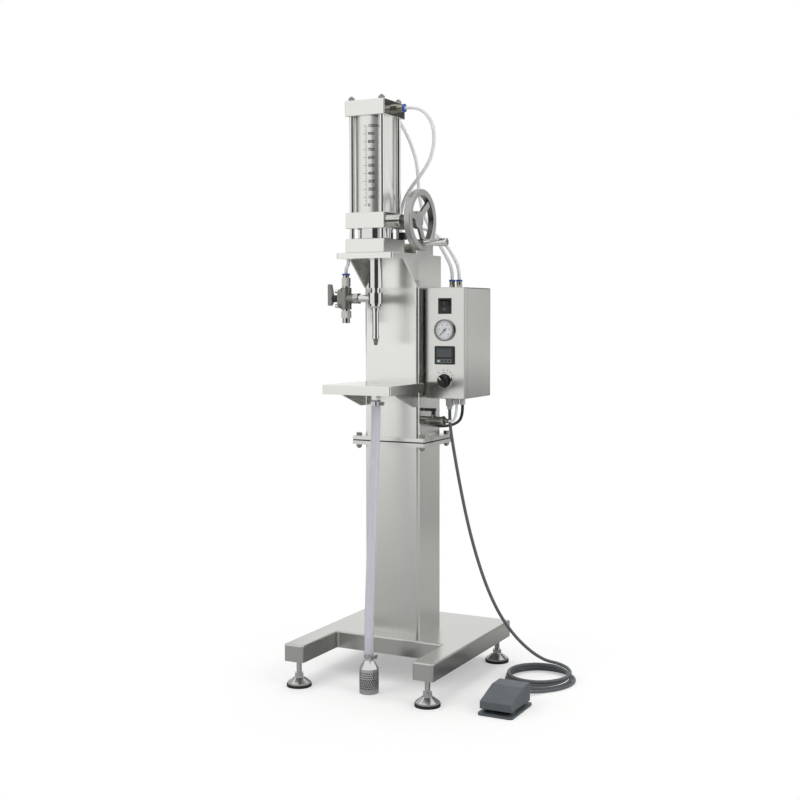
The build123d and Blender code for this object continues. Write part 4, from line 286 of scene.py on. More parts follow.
def braided_hose(name, colour, braid):
    """Clear soft hose with a braid in its wall, 5.5 mm from thread to thread, on the hose's own UV map."""
    material, add, place = new_material(name, "UV")
    turns = 106.0
    around = 8.0
    threads = []
    for side in (-1.0, 1.0):
        step = (2 * pi * turns, 2 * pi * around * side, 0.0)
        along = add("VectorMath DOT_PRODUCT", place, step)
        threads.append(add("Math SINE", along))
    highest = add("Math MAXIMUM", threads[0], threads[1])
    mask = add("MapRange", highest, 0.6, 1.0, To_Max=0.6)
    tone = add("Mix", data_type="RGBA", Factor=mask, A=colour, B=braid)
    through = add("MapRange", mask, To_Min=0.45, To_Max=0.05)
    relief = add("Bump", Strength=0.2, Distance=0.0003, Height=mask)
    shader = add(
        "BsdfPrincipled", Base_Color=tone, Roughness=0.22, Transmission_Weight=through, Normal=relief,
        IOR=1.4)
    return close_material(material, shader)


def two_finishes(name, border, below, above, axis=0, depth=0.0001):
    """Two finishes in one solid, below and above a border in metres on an axis. Each is a colour, metallic
    and roughness."""
    material, add, place = new_material(name)
    along = add("SeparateXYZ", place).outputs[axis]
    side = add("Math GREATER_THAN", along, border)
    skin = add("TexNoise", place, Scale=per_metre(2.0), Detail=4.0)
    tone = add("Mix", data_type="RGBA", Factor=side, A=below[0], B=above[0])
    metal = add("MapRange", side, To_Min=below[1], To_Max=above[1])
    dull = add("MapRange", side, To_Min=below[2], To_Max=above[2])
    gloss = add("Math MULTIPLY_ADD", skin, 0.12, dull)
    relief = add("Bump", Strength=0.2, Distance=depth, Height=skin)
    shader = add("BsdfPrincipled", Base_Color=tone, Metallic=metal, Roughness=gloss, Normal=relief)
    return close_material(material, shader)


def turned_casting(name, light, dark, middle, inner):
    """Wheel on an axis along X through a middle: satin turned faces, a bright outside and, within the inner
    radius in metres, dark walls: partly the cast skin's tone, partly painted shade inside the rim."""
    material, add, place = new_material(name)
    offset = add("VectorMath SUBTRACT", place, middle)
    across = add("VectorMath MULTIPLY", offset, (0.0, 1.0, 1.0))
    reach = add("VectorMath LENGTH", across)
    inside = add("Math LESS_THAN", reach, inner)
    normal = add("TexCoord").outputs["Normal"]
    lean = add("SeparateXYZ", normal).outputs["X"]
    along = add("Math ABSOLUTE", lean)
    face = add("Math GREATER_THAN", along, 0.6)
    wall = add("Math SUBTRACT", inside, face, use_clamp=True)
    skin = add("TexNoise", place, Scale=per_metre(5.0), Detail=4.0)
    tone = add("Mix", data_type="RGBA", Factor=skin, A=shade(light, 0.86), B=light)
    # Painted shade: the walls within the rim take the dark colour, beyond the cast skin's own tone
    colour = add("Mix", data_type="RGBA", Factor=wall, A=tone, B=dark)
    metal = add("MapRange", face, To_Min=1.0, To_Max=0.5)
    dull = add("MapRange", face, To_Min=0.2, To_Max=0.36)
    gloss = add("Math MULTIPLY_ADD", skin, 0.08, dull)
    shader = add("BsdfPrincipled", Base_Color=colour, Metallic=metal, Roughness=gloss)
    return close_material(material, shader)


def perforated_steel(name, light, middle, radius, span):
    """Bright steel with staggered round holes in a band around an upright axis, drawn 5 mm apart to show. The
    holes are painted near black as painted shade of the tube's inside.
    """
    material, add, place = new_material(name)
    spacing = 0.005
    hole_reach = 0.3
    holes_around = round(2 * pi * radius / spacing)
    centred = add("Mapping", place, Location=(-middle[0], -middle[1], 0.0))
    x, y, z = add("SeparateXYZ", centred).outputs
    angle = add("Math ARCTAN2", y, x)
    across = add("Math MULTIPLY", angle, holes_around / (2 * pi))
    rows = add("Math MULTIPLY", z, 1.0 / spacing)
    shifted = add("Math MULTIPLY_ADD", rows, 0.5, across)
    square = 0.0
    for line in (shifted, rows):
        part = add("Math FRACT", line)
        offset = add("Math SUBTRACT", part, 0.5)
        square = add("Math MULTIPLY_ADD", offset, offset, square)
    hole = add("Math LESS_THAN", square, hole_reach ** 2)
    above = add("Math GREATER_THAN", z, span[0])
    below = add("Math LESS_THAN", z, span[1])
    band = add("Math MULTIPLY", above, below)
    mask = add("Math MULTIPLY", band, hole)
    # Painted shade: the holes' pattern is real, their near-black tone stands for the shaded inside
    tone = add("Mix", data_type="RGBA", Factor=mask, A=light, B=shade(light, 0.06))
    gloss = add("MapRange", mask, To_Min=0.2, To_Max=0.7)
    relief = add("Bump", invert=True, Strength=0.5, Distance=0.0005, Height=mask)
    shader = add("BsdfPrincipled", Base_Color=tone, Metallic=1.0, Roughness=gloss, Normal=relief)
    return close_material(material, shader)


def deselect_all():
    """Leave edit mode and select nothing."""
    if bpy.context.object and bpy.context.object.mode != "OBJECT":
        bpy.ops.object.mode_set(mode="OBJECT")
    bpy.ops.object.select_all(action="DESELECT")


def make_active(piece):
    """Select one piece alone."""
    deselect_all()
    piece.select_set(True)
    bpy.context.view_layer.objects.active = piece


def apply_modifier(piece, kind, **options):
    """Add a modifier to a piece, set it and apply it."""
    make_active(piece)
    modifier = piece.modifiers.new(kind.lower(), kind)
    for name, value in options.items():
        setattr(modifier, name, value)
    bpy.ops.object.modifier_apply(modifier=modifier.name)


def join_pieces(pieces, name):
    """Join pieces into one and name it."""
    deselect_all()
    for piece in pieces:
        piece.select_set(True)
    bpy.context.view_layer.objects.active = pieces[0]
    if len(pieces) > 1:
        bpy.ops.object.join()
    joined = bpy.context.object
    joined.name = name
    joined.data.name = name
    return joined


def apply_place(piece):
    """Put a piece's place, turn and size into its mesh."""
    make_active(piece)
    bpy.ops.object.transform_apply(location=True, rotation=True, scale=True)


def dress(piece, material, body="frame"):
    """Give a new piece its material and its body."""
    piece.data.materials.clear()
    piece.data.materials.append(material)
    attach(piece, body)


def add_bar(length, width, place, angle=0.0, cuts=0):
    """Thin bar that faces the front, turned by an angle anticlockwise and divided along its length."""
    deselect_all()
    bpy.ops.mesh.primitive_plane_add(size=1.0, location=place, rotation=(pi / 2, -angle, 0.0))
    bar = bpy.context.object
    bar.scale = (length, width, 1.0)
    apply_place(bar)
    if cuts:
        bpy.ops.object.mode_set(mode="EDIT")
        bpy.ops.mesh.select_all(action="SELECT")
        bpy.ops.mesh.subdivide(number_cuts=cuts)
        bpy.ops.object.mode_set(mode="OBJECT")
    return bar


def add_words(words, height, place, align):
    """Flat words that face the front, as a mesh."""
    # Shares: of the font's size that its digits are high, and of their height that makes strokes bolder
    digit_share = 0.7
    bolder = 0.03
    deselect_all()
    bpy.ops.object.text_add(location=place, rotation=(pi / 2, 0.0, 0.0))
    text = bpy.context.object
    text.data.body = words
    text.data.size = height / digit_share
    text.data.align_x = align
    text.data.align_y = "CENTER"
    text.data.offset = height * bolder
    bpy.ops.object.convert(target="MESH")
    text = bpy.context.object
    apply_place(text)
    return text


def copy_piece(piece, place=(0.0, 0.0, 0.0), angle=0.0, middle=(0.0, 0.0, 0.0)):
    """Copy of a piece with its own mesh, turned about a middle, anticlockwise from the front, and moved."""
    make_active(piece)
    bpy.ops.object.duplicate()
    copy = bpy.context.object
    turn = Matrix.Translation(middle) @ Matrix.Rotation(-angle, 4, "Y") @ Matrix.Translation(-Vector(middle))
    copy.matrix_world = Matrix.Translation(place) @ turn
    apply_place(copy)
    return copy


def wrap_on(piece, node, gap):
    """Press a flat piece backwards onto a solid, a small gap in front of it."""
    apply_modifier(
        piece, "SHRINKWRAP", target=nodes[node], wrap_method="PROJECT", use_project_y=True,
        use_positive_direction=True, use_negative_direction=False, offset=gap)


def add_block(name, size, place, round_width, border, rise):
    """Block with rounded edges and, within a border, a front that stands out or, below 0, lies back."""
    deselect_all()
    bpy.ops.mesh.primitive_cube_add(size=1.0, location=place)
    block = bpy.context.object
    block.name = name
    block.scale = size
    apply_place(block)
    apply_modifier(block, "BEVEL", width=round_width, segments=3)
    bpy.ops.object.mode_set(mode="EDIT")
    bpy.ops.mesh.select_mode(type="FACE")
    bpy.ops.mesh.select_all(action="DESELECT")
    bpy.ops.object.mode_set(mode="OBJECT")
    front = min(polygon.center.y for polygon in block.data.polygons)
    for polygon in block.data.polygons:
        polygon.select = polygon.normal.y < -0.99 and polygon.center.y < front + 0.00005
    bpy.ops.object.mode_set(mode="EDIT")
    bpy.ops.mesh.inset(thickness=border, depth=rise)
    bpy.ops.object.mode_set(mode="OBJECT")
    return block


def add_disc(radius, corners, place, border):
    """Disc that faces the front, left in edit mode with all but its border selected."""
    deselect_all()
    bpy.ops.mesh.primitive_circle_add(
        vertices=corners, radius=radius, fill_type="NGON", location=place, rotation=(pi / 2, 0.0, 0.0))
    disc = bpy.context.object
    apply_place(disc)
    bpy.ops.object.mode_set(mode="EDIT")
    bpy.ops.mesh.select_all(action="SELECT")
    bpy.ops.mesh.inset(thickness=border, depth=0.0)
    return disc


def thicken(piece, thickness):
    """Give a flat piece its thickness, towards the front."""
    apply_modifier(piece, "SOLIDIFY", thickness=thickness, offset=1.0)


# Routes of the tubes, the hose and the cable, in metres
top_air_route = [
    (0.075, -0.1345, 1.2955), (0.098, -0.1345, 1.2955), (0.1185, -0.1328, 1.2865), (0.134, -0.1298, 1.2685),
    (0.1415, -0.126, 1.242), (0.1385, -0.1215, 1.2105), (0.126, -0.1155, 1.18), (0.104, -0.109, 1.155),
    (0.079, -0.101, 1.133), (0.057, -0.0915, 1.112), (0.0415, -0.0805, 1.093), (0.031, -0.0695, 1.074),
    (0.0245, -0.06, 1.056), (0.022, -0.054, 1.04), (0.022, -0.054, 1.022),
]
box_air_route_1 = [
    (0.0, -0.066, 1.2955), (0.0, -0.044, 1.2955), (0.0006, -0.022, 1.289), (0.0025, -0.004, 1.276),
    (0.009, 0.007, 1.257), (0.02, 0.009, 1.231), (0.031, 0.008, 1.2), (0.0375, 0.005, 1.166),
    (0.04, 0.003, 1.131), (0.046, 0.002, 1.096), (0.058, 0.0025, 1.062), (0.076, 0.004, 1.029),
    (0.095, 0.008, 0.998), (0.11, 0.014, 0.97), (0.118, 0.02, 0.945), (0.118, 0.02, 0.923),
]
box_air_route_2 = [
    (-0.022, -0.066, 1.0505), (-0.022, -0.043, 1.0505), (-0.013, -0.016, 1.0515), (0.009, 0.009, 1.051),
    (0.041, 0.022, 1.045), (0.075, 0.024, 1.029), (0.103, 0.02, 1.003), (0.124, 0.018, 0.974),
    (0.1357, 0.02, 0.947), (0.1357, 0.02, 0.923),
]
valve_tube_route = [
    (0.1406, -0.0045, 0.637), (0.1406, -0.0045, 0.629), (0.1412, -0.0075, 0.6205), (0.1424, -0.0135, 0.612),
    (0.1432, -0.0205, 0.605), (0.1428, -0.0262, 0.601), (0.139, -0.029, 0.6), (0.132, -0.029, 0.6),
]
supply_route = [
    (0.1556, -0.0045, 0.637), (0.1556, -0.0045, 0.624), (0.1518, -0.0004, 0.611), (0.1432, 0.0084, 0.5998),
    (0.127, 0.0232, 0.591), (0.103, 0.0442, 0.5833), (0.074, 0.0645, 0.5785), (0.046, 0.071, 0.577),
    (0.024, 0.071, 0.577),
]
hose_route = [
    (0.0, -0.1345, 0.652), (0.0, -0.1345, 0.604), (-0.001, -0.14, 0.52), (-0.0002, -0.15, 0.42),
    (0.0038, -0.166, 0.3), (0.009, -0.184, 0.196), (0.0175, -0.203, 0.116), (0.0175, -0.203, 0.074),
]
cable_route = [
    (0.1232, -0.0045, 0.626), (0.1232, -0.0045, 0.592), (0.1315, -0.002, 0.536), (0.142, 0.0035, 0.468),
    (0.1535, 0.01, 0.4), (0.167, 0.018, 0.331), (0.1832, 0.028, 0.264), (0.2015, 0.0405, 0.201),
    (0.2245, 0.056, 0.142), (0.255, 0.0755, 0.09), (0.2885, 0.097, 0.0515), (0.317, 0.1135, 0.031),
]
tail_route = [
    (0.379, -0.0205, 0.0042), (0.36, -0.043, 0.005), (0.345, -0.066, 0.0085), (0.336, -0.089, 0.0125),
    (0.336, -0.111, 0.0125),
]

# The cable's coil on the floor: turns from its start, radius and height at each
coil_middle = (0.323, 0.0535)
coil_stretch = 1.08
coil_start_angle = 75.0
coil_stations = [
    (0.0, 0.0705, 0.0245), (0.1, 0.0725, 0.0215), (0.2, 0.0735, 0.0197), (0.35, 0.0725, 0.019),
    (0.5, 0.0705, 0.0187), (0.75, 0.0685, 0.0187), (1.0, 0.066, 0.0175), (1.1, 0.067, 0.0155),
    (1.2, 0.069, 0.0135), (1.35, 0.0725, 0.0113), (1.75, 0.0715, 0.0113), (2.0, 0.0715, 0.01),
    (2.1, 0.0735, 0.008), (2.2, 0.0755, 0.0058), (2.35, 0.0755, 0.0042), (2.75, 0.0735, 0.0042),
    (3.0, 0.077, 0.0042), (3.15, 0.0825, 0.0042), (3.31, 0.0865, 0.0042),
]
coil_steps_per_turn = 16


def coil_points():
    """Control points of the coil's turns, between the stations."""
    points = []
    steps = round(coil_stations[-1][0] * coil_steps_per_turn)
    for step in range(steps + 1):
        turn = coil_stations[-1][0] * step / steps
        for before, after in zip(coil_stations, coil_stations[1:]):
            if before[0] <= turn <= after[0]:
                share = (turn - before[0]) / (after[0] - before[0])
                radius = before[1] + share * (after[1] - before[1])
                height = before[2] + share * (after[2] - before[2])
        angle = radians(coil_start_angle - 360.0 * turn)
        across = radius * cos(angle)
        along = coil_stretch * radius * sin(angle)
        points.append((coil_middle[0] + across, coil_middle[1] + along, height))
    return points


def add_cord(name, route, diameter, material):
    """Cord on a smooth spline, with the route's points as its control points."""
    curve = bpy.data.curves.new(name, "CURVE")
    curve.dimensions = "3D"
    curve.bevel_depth = diameter / 2
    curve.bevel_resolution = 6
    curve.resolution_u = 8
    curve.use_fill_caps = True
    spline = curve.splines.new("NURBS")
    spline.points.add(len(route) - 1)
    for point, place in zip(spline.points, route):
        point.co = (*place, 1.0)
    spline.order_u = 3
    spline.use_endpoint_u = True
    cord = bpy.data.objects.new(name, curve)
    bpy.context.scene.collection.objects.link(cord)
    dress(cord, material)
    return cord


class FILLER_OT_stage(bpy.types.Operator):
    """Add the camera, the floor, the lamps and the background"""

    bl_idname = "filler.stage"
    bl_label = "Stage"

    def execute(self, context):
        stage = settings("stage")
        scene = context.scene
        scene.view_settings.view_transform = "Standard"
        deselect_all()
        bpy.ops.object.camera_add(location=stage.camera_place, rotation=stage.camera_turn)
        camera = context.object
        camera.data.lens = stage.camera_lens
        camera.data.sensor_width = 36.0
        scene.camera = camera
        self.add_background(scene, stage)
        self.add_floor(stage)
        # Place, aim, size and power of each lamp
        self.add_lamp("key_lamp", (-1.7, -2.4, 2.3), (0.0, 0.0, 0.7), 2.2, stage.key_power)
        self.add_lamp("top_lamp", (-0.2, 0.4, 3.2), (0.0, 0.0, 0.6), 2.4, stage.top_power)
        self.add_lamp("side_lamp", (2.2, -0.6, 1.6), (0.2, 0.0, 0.3), 1.2, stage.side_power)
        # Heights between which a card stands, then each card's direction in degrees, distance and width
        full, middle, high = (0.0, 2.2), (0.72, 1.15), (1.68, 2.2)
        self.add_card("right_card", 59.5, 1.8, 0.6, full, (0.2, 0.66, 0.05))
        self.add_card("right_rear_card", 84.5, 2.4, 1.33, middle, (0.04, 0.04, 0.04))
        self.add_card("left_rear_card", 166.5, 2.4, 3.8, middle, (0.05, 0.05, 0.05))
        self.add_card("right_high_card", 84.5, 2.4, 1.33, high, (0.05, 0.05, 0.05))
        self.add_card("left_high_card", 166.5, 2.4, 3.8, high, (0.05, 0.05, 0.05))
        self.add_card("front_card", -50.0, 3.7, 4.6, full, (0.05, 0.05, 0.05))
        return {"FINISHED"}

    def add_background(self, scene, stage):
        """White surroundings for the camera, for reflections and through glass, dimmer on matt surfaces."""
        world = bpy.data.worlds.new("studio_white")
        scene.world = world
        world.use_nodes = True
        world.node_tree.nodes.clear()
        add = partial(add_node, world.node_tree)
        rays = add("LightPath").outputs
        seen = add("Math MAXIMUM", rays["Is Camera Ray"], rays["Is Glossy Ray"])
        clear = add("Math MAXIMUM", seen, rays["Is Transmission Ray"])
        strength = add("MapRange", clear, To_Min=stage.fill_strength, To_Max=1.0)
        light = add("Background", Color=pure_white, Strength=strength)
        add("OutputWorld", light)

    def add_floor(self, stage):
        """Pale floor that keeps the shadow near the machine, fades into white and, in reflections, glows grey
        with a painted shadow behind the machine.
        """
        machine_foot = (0.1, -0.02, 0.0)
        shadow_middle = (0.1, 0.08, 0.0)
        deselect_all()
        bpy.ops.mesh.primitive_plane_add(size=14.0, location=(0.0, 0.0, 0.0))
        floor = bpy.context.object
        floor.name = "floor"
        material, add, place = new_material("painted_floor")
        rays = add("LightPath").outputs
        away = add("VectorMath DISTANCE", place, machine_foot)
        far = add("MapRange", away, 0.2, stage.floor_clear, 0.35, interpolation_type="SMOOTHSTEP")
        seen = add("Math MULTIPLY", rays["Is Camera Ray"], far)
        glossy = add("Math MAXIMUM", seen, rays["Is Glossy Ray"])
        clear = add("Math MAXIMUM", glossy, rays["Is Transmission Ray"])
        paint = add("BsdfDiffuse", Color=stage.floor_colour)
        # Painted shadow in reflections: the floor's glow is darkest around shadow_middle and grows lighter
        # farther out
        behind = add("VectorMath DISTANCE", place, shadow_middle)
        shaded = add("MapRange", behind, 0.15, 0.45, 0.2, 0.46, interpolation_type="SMOOTHSTEP")
        mirrored = add("MapRange", away, 0.8, 8.0, shaded)
        strength = add("MapRange", rays["Is Glossy Ray"], To_Min=1.0, To_Max=mirrored)
        white = add("Emission", Color=pure_white, Strength=strength)
        shader = add("MixShader", clear, paint, white)
        floor.data.materials.append(close_material(material, shader))

    def add_lamp(self, name, place, aim, size, power):
        """Large soft lamp that looks at a point."""
        deselect_all()
        turn = (Vector(aim) - Vector(place)).to_track_quat("-Z", "Y").to_euler()
        bpy.ops.object.light_add(type="AREA", location=place, rotation=turn)
        lamp = bpy.context.object
        lamp.name = name
        lamp.data.size = size
        lamp.data.energy = power
        lamp.visible_glossy = False

    def add_card(self, name, azimuth, distance, width, span, greys):
        """Upright card that only reflections see, with its greys near the floor, midway and high up."""
        deselect_all()
        angle = radians(azimuth)
        height = span[1] - span[0]
        place = (distance * cos(angle), distance * sin(angle), span[0] + height / 2)
        bpy.ops.mesh.primitive_plane_add(size=1.0, location=place, rotation=(pi / 2, 0.0, angle - pi / 2))
        card = bpy.context.object
        card.name = name
        card.scale = (width, height, 1.0)
        apply_place(card)
        material, add, place = new_material("grey_card")
        level = add("SeparateXYZ", place).outputs["Z"]
        low = add("MapRange", level, 0.47, 0.75, greys[0], greys[1], interpolation_type="SMOOTHSTEP")
        grey = add("MapRange", level, 1.0, 1.17, low, greys[2], interpolation_type="SMOOTHSTEP")
        shader = add("Emission", Color=grey)
        card.data.materials.append(close_material(material, shader))
        for ray in ("camera", "diffuse", "transmission", "shadow"):
            setattr(card, "visible_" + ray, False)


class FILLER_OT_cords(bpy.types.Operator):
    """Add the air tubes, the supply hose, the suction hose and the pedal cable"""

    bl_idname = "filler.cords"
    bl_label = "Tubes, hose and cable"

    def execute(self, context):
        sizes = settings("cords")
        # Polyurethane air tube, extruded: milky, half clear, with a soft shine
        tubing = clear_plastic("polyurethane_tubing", sizes.tubing_colour, 0.25, transmission=0.2)
        # Black polyurethane hose: dark, smooth, with a soft shine
        black_tubing = moulded_plastic("black_polyurethane", linear("#1d1e1f"), 0.3, 0.6)
        # Soft PVC with a polyester braid in its wall: clear with a lavender tint and white threads
        hose_wall = braided_hose("braided_pvc", sizes.hose_colour, sizes.braid_colour)
        # PVC cable jacket: grey, dull, slightly uneven
        jacket = moulded_plastic("pvc_cable_jacket", sizes.cable_colour, 0.42, 1.2)

        air = sizes.air_tube_diameter
        tubes = [
            ("top_tube", top_air_route, air, tubing, "top_air_tube", 0.368),
            ("box_tube_1", box_air_route_1, air, tubing, "box_air_tube_1", 0.447),
            ("box_tube_2", box_air_route_2, air, tubing, "box_air_tube_2", 0.283),
            ("ball_valve_tube", valve_tube_route, sizes.valve_tube_diameter, tubing, "valve_tube", 0.057),
            ("black_hose", supply_route, sizes.supply_diameter, black_tubing, "supply_hose", 0.186),
        ]
        for name, route, diameter, material, node, length in tubes:
            cord = add_cord(name, route, diameter, material)
            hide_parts(node)

        hose = add_cord("clear_hose", hose_route, sizes.hose_diameter, hose_wall)
        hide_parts("suction_hose")

        cable_line = cable_route + coil_points() + tail_route
        cable = add_cord("pedal_cable", cable_line, sizes.cable_diameter, jacket)
        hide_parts("cable_drop", "cable_coil", "cable_tail")
        return {"FINISHED"}


class FILLER_OT_scale(bpy.types.Operator):
    """Print the measuring tube's scale"""

    bl_idname = "filler.scale"
    bl_label = "Measuring scale"

    def execute(self, context):
        marks = settings("marks")
        steps = 50
        step_value = 20
        long_every = 100
        short_share = 0.7
        digit_gap = 0.002
        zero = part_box("piston")[1][2]
        front = tube_front - 0.004
        right = 0.0045
        long_place = (right - marks.major_tick / 2, front, zero)
        short_place = (right - marks.minor_tick / 2, front, zero)
        long_tick = add_bar(marks.major_tick, marks.tick_width, long_place, cuts=5)
        short_tick = add_bar(marks.minor_tick, marks.tick_width * short_share, short_place, cuts=4)
        parts = [long_tick]
        for step in range(steps + 1):
            rise = marks.scale_length * step / steps
            value = step_value * step
            if value % long_every:
                parts.append(copy_piece(short_tick, (0.0, 0.0, rise)))
                continue
            if value:
                parts.append(copy_piece(long_tick, (0.0, 0.0, rise)))
            words = f"{value}ml" if step == steps else str(value)
            place = (right + digit_gap, front, zero + rise)
            parts.append(add_words(words, marks.digit_height, place, "LEFT"))
        bpy.data.objects.remove(short_tick)
        scale = join_pieces(parts, "tube_scale")
        wrap_on(scale, "cylinder_tube", gap=0.0002)
        thicken(scale, 0.0001)
        # Screen-printing ink: dull dark grey
        dress(scale, moulded_plastic("screen_ink", marks.ink_colour, 0.6, 0.5))
        return {"FINISHED"}


class FILLER_OT_gauge(bpy.types.Operator):
    """Add the pressure gauge's dial with its marks"""

    bl_idname = "filler.gauge"
    bl_label = "Gauge dial"

    def execute(self, context):
        marks = settings("marks")
        steps = 50
        first_angle = 225.0
        sweep = 270.0
        dial_depth = 0.005
        print_rise = 0.00034
        digit_height = 0.0032
        digit_reach = 0.0128
        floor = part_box("gauge_case")[0][1] + dial_depth
        disc = add_disc(radius=0.0216, corners=96, place=(panel_middle, floor, gauge_z), border=0.0012)
        bpy.ops.object.mode_set(mode="OBJECT")
        dial = join_pieces([disc], "gauge_dial")
        thicken(dial, 0.0003)
        # Enamelled sheet: smooth pale blue
        dress(dial, moulded_plastic("dial_enamel", marks.dial_colour, 0.35, 2.0))

        middle = Vector((panel_middle, floor - print_rise, gauge_z))
        long_tick = add_bar(length=0.0036, width=0.0006, place=middle + Vector((0.0177, 0.0, 0.0)))
        short_tick = add_bar(length=0.002, width=0.0003, place=middle + Vector((0.0185, 0.0, 0.0)))
        parts = []
        for step in range(steps + 1):
            angle = radians(first_angle - sweep * step / steps)
            tick = short_tick if step % 5 else long_tick
            parts.append(copy_piece(tick, angle=angle, middle=middle))
            if step % 10 == 0:
                place = middle + Vector((digit_reach * cos(angle), 0.0, digit_reach * sin(angle)))
                parts.append(add_words(str(step // 5), digit_height, place, "CENTER"))
        bpy.data.objects.remove(long_tick)
        bpy.data.objects.remove(short_tick)
        ticks = join_pieces(parts, "gauge_marks")
        thicken(ticks, 0.00006)
        # Printing ink on the dial: nearly black
        dress(ticks, moulded_plastic("dial_ink", linear("#23252b"), 0.5, 0.5))
        return {"FINISHED"}


class FILLER_OT_timer(bpy.types.Operator):
    """Add the timer's display and keys"""

    bl_idname = "filler.timer"
    bl_label = "Timer display and keys"

    def execute(self, context):
        window_front = panel_front - 0.004
        window_width = 0.0376
        key_drop = 0.013
        key_pitch = 0.009
        place = (panel_middle, window_front + 0.0006, timer_z + 0.006)
        size = (window_width, 0.0008, 0.0196)
        pane = add_block("timer_pane", size, place, round_width=0.0002, border=0.0012, rise=-0.0002)
        # Tinted acrylic pane: dark grey with a hard shine
        dress(pane, moulded_plastic("tinted_acrylic", linear("#4f5456"), 0.12, 8.0))

        strips = []
        for level, height in ((0.0102, 0.0066), (0.0019, 0.0052)):
            place = (panel_middle, window_front + 0.0001, timer_z + level)
            size = (0.0336, 0.0006, height)
            strips.append(add_block("strip", size, place, round_width=0.0002, border=0.0006, rise=-0.0001))
        display = join_pieces(strips, "timer_display")
        # Liquid crystal display that is off: grey green and dull
        dress(display, moulded_plastic("idle_display", linear("#454b4d"), 0.3, 6.0))

        place = (panel_middle, window_front - 0.0001, timer_z - key_drop)
        size = (window_width, 0.0004, 0.0082)
        film = add_block("timer_key_strip", size, place, round_width=0.0001, border=0.0006, rise=0.0)
        # Printed polyester film under the keys: grey green
        dress(film, moulded_plastic("polyester_film", linear("#66716f"), 0.4, 3.0))

        # Silicone keys: one pale, three dark grey
        pale = moulded_plastic("pale_silicone", linear("#c6cccb"), 0.5, 0.8)
        dark = moulded_plastic("dark_silicone", linear("#383d3f"), 0.5, 0.8)
        place = (panel_middle - 1.5 * key_pitch, window_front - 0.00095, timer_z - key_drop)
        size = (0.0056, 0.0005, 0.0041)
        first_key = add_block("key", size, place, round_width=0.0002, border=0.0006, rise=0.0001)
        keys = [first_key]
        for number in range(1, 4):
            keys.append(copy_piece(first_key, (key_pitch * number, 0.0, 0.0)))
        for number, key in enumerate(keys):
            key.name = f"timer_key_{number + 1}"
            dress(key, dark if number else pale)
        return {"FINISHED"}


class FILLER_OT_marks(bpy.types.Operator):
    """Add the switch's marks, the knob's pointer line and the settings around the knob"""

    bl_idname = "filler.marks"
    bl_label = "Switch and knob marks"

    def execute(self, context):
        # White pad-printing ink
        white = moulded_plastic("white_ink", linear("#e9e9e6"), 0.5, 0.5)
        # Grey pad-printing ink on the switch
        grey = moulded_plastic("grey_ink", linear("#8b8d8c"), 0.5, 0.5)
        # Black pad-printing ink
        black = moulded_plastic("black_ink", linear("#2a2b2c"), 0.5, 0.5)
        front = panel_front - 0.02
        mark_rise = 0.0065
        place = (panel_middle, front, rocker_z - mark_rise)
        ring = add_disc(radius=0.0026, corners=48, place=place, border=0.0008)
        bpy.ops.mesh.delete(type="FACE")
        bpy.ops.object.mode_set(mode="OBJECT")
        place = (panel_middle, front, rocker_z + mark_rise)
        line = add_bar(length=0.0056, width=0.0009, place=place, angle=radians(90.0), cuts=2)
        rocker_marks = join_pieces([ring, line], "rocker_marks")
        wrap_on(rocker_marks, "rocker", gap=0.00005)
        thicken(rocker_marks, 0.00008)
        dress(rocker_marks, grey, body="switch_rocker")

        setting_angles = (130.0, 99.0, 75.0, 53.0, 34.0)
        pointer_reach = 0.0068
        angle = radians(setting_angles[0])
        ink_gap = 0.00005
        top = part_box("selector_knob")[0][1] - ink_gap
        place = (panel_middle + pointer_reach * cos(angle), top, knob_z + pointer_reach * sin(angle))
        line = add_bar(length=0.008, width=0.0022, place=place, angle=angle, cuts=1)
        pointer = join_pieces([line], "knob_pointer")
        thicken(pointer, 0.0001)
        dress(pointer, white, body="knob")

        middle = Vector((panel_middle, panel_front - ink_gap, knob_z))
        first_tick = add_bar(length=0.0045, width=0.0012, place=middle + Vector((0.0235, 0.0, 0.0)))
        parts = []
        for degrees in setting_angles:
            parts.append(copy_piece(first_tick, angle=radians(degrees), middle=middle))
        bpy.data.objects.remove(first_tick)
        ticks = join_pieces(parts, "knob_settings")
        thicken(ticks, 0.0001)
        dress(ticks, black)
        return {"FINISHED"}


class FILLER_OT_spring(bpy.types.Operator):
    """Add the pedal's return spring, which the treadle presses together"""

    bl_idname = "filler.spring"
    bl_label = "Pedal spring"

    def execute(self, context):
        wire = 0.002
        turns = 8
        low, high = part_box("pedal_spring")
        foot = (*middle_of("pedal_spring")[:2], low[2])
        coil_radius = (high[0] - low[0] - wire) / 2
        pitch = (high[2] - low[2] - wire) / turns
        deselect_all()
        bpy.ops.mesh.primitive_circle_add(
            vertices=12, radius=wire / 2, location=(coil_radius, 0.0, wire / 2),
            rotation=(pi / 2, 0.0, 0.0))
        spring = join_pieces([context.object], "return_spring")
        apply_place(spring)
        apply_modifier(
            spring, "SCREW", angle=2 * pi, screw_offset=pitch, iterations=turns, steps=24, render_steps=24)
        bpy.ops.object.mode_set(mode="EDIT")
        bpy.ops.mesh.select_all(action="SELECT")
        bpy.ops.mesh.fill_holes(sides=0)
        bpy.ops.mesh.normals_make_consistent(inside=False)
        bpy.ops.object.mode_set(mode="OBJECT")
        bpy.ops.object.shade_smooth()
        spring.location = foot
        apply_place(spring)
        # Drawn spring steel: bright, with fine marks
        steel = polished_metal("spring_steel", linear("#bdbdb9"), 0.2, 6.0)
        dress(spring, steel)
        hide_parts("pedal_spring")
        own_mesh(spring)
        return {"FINISHED"}


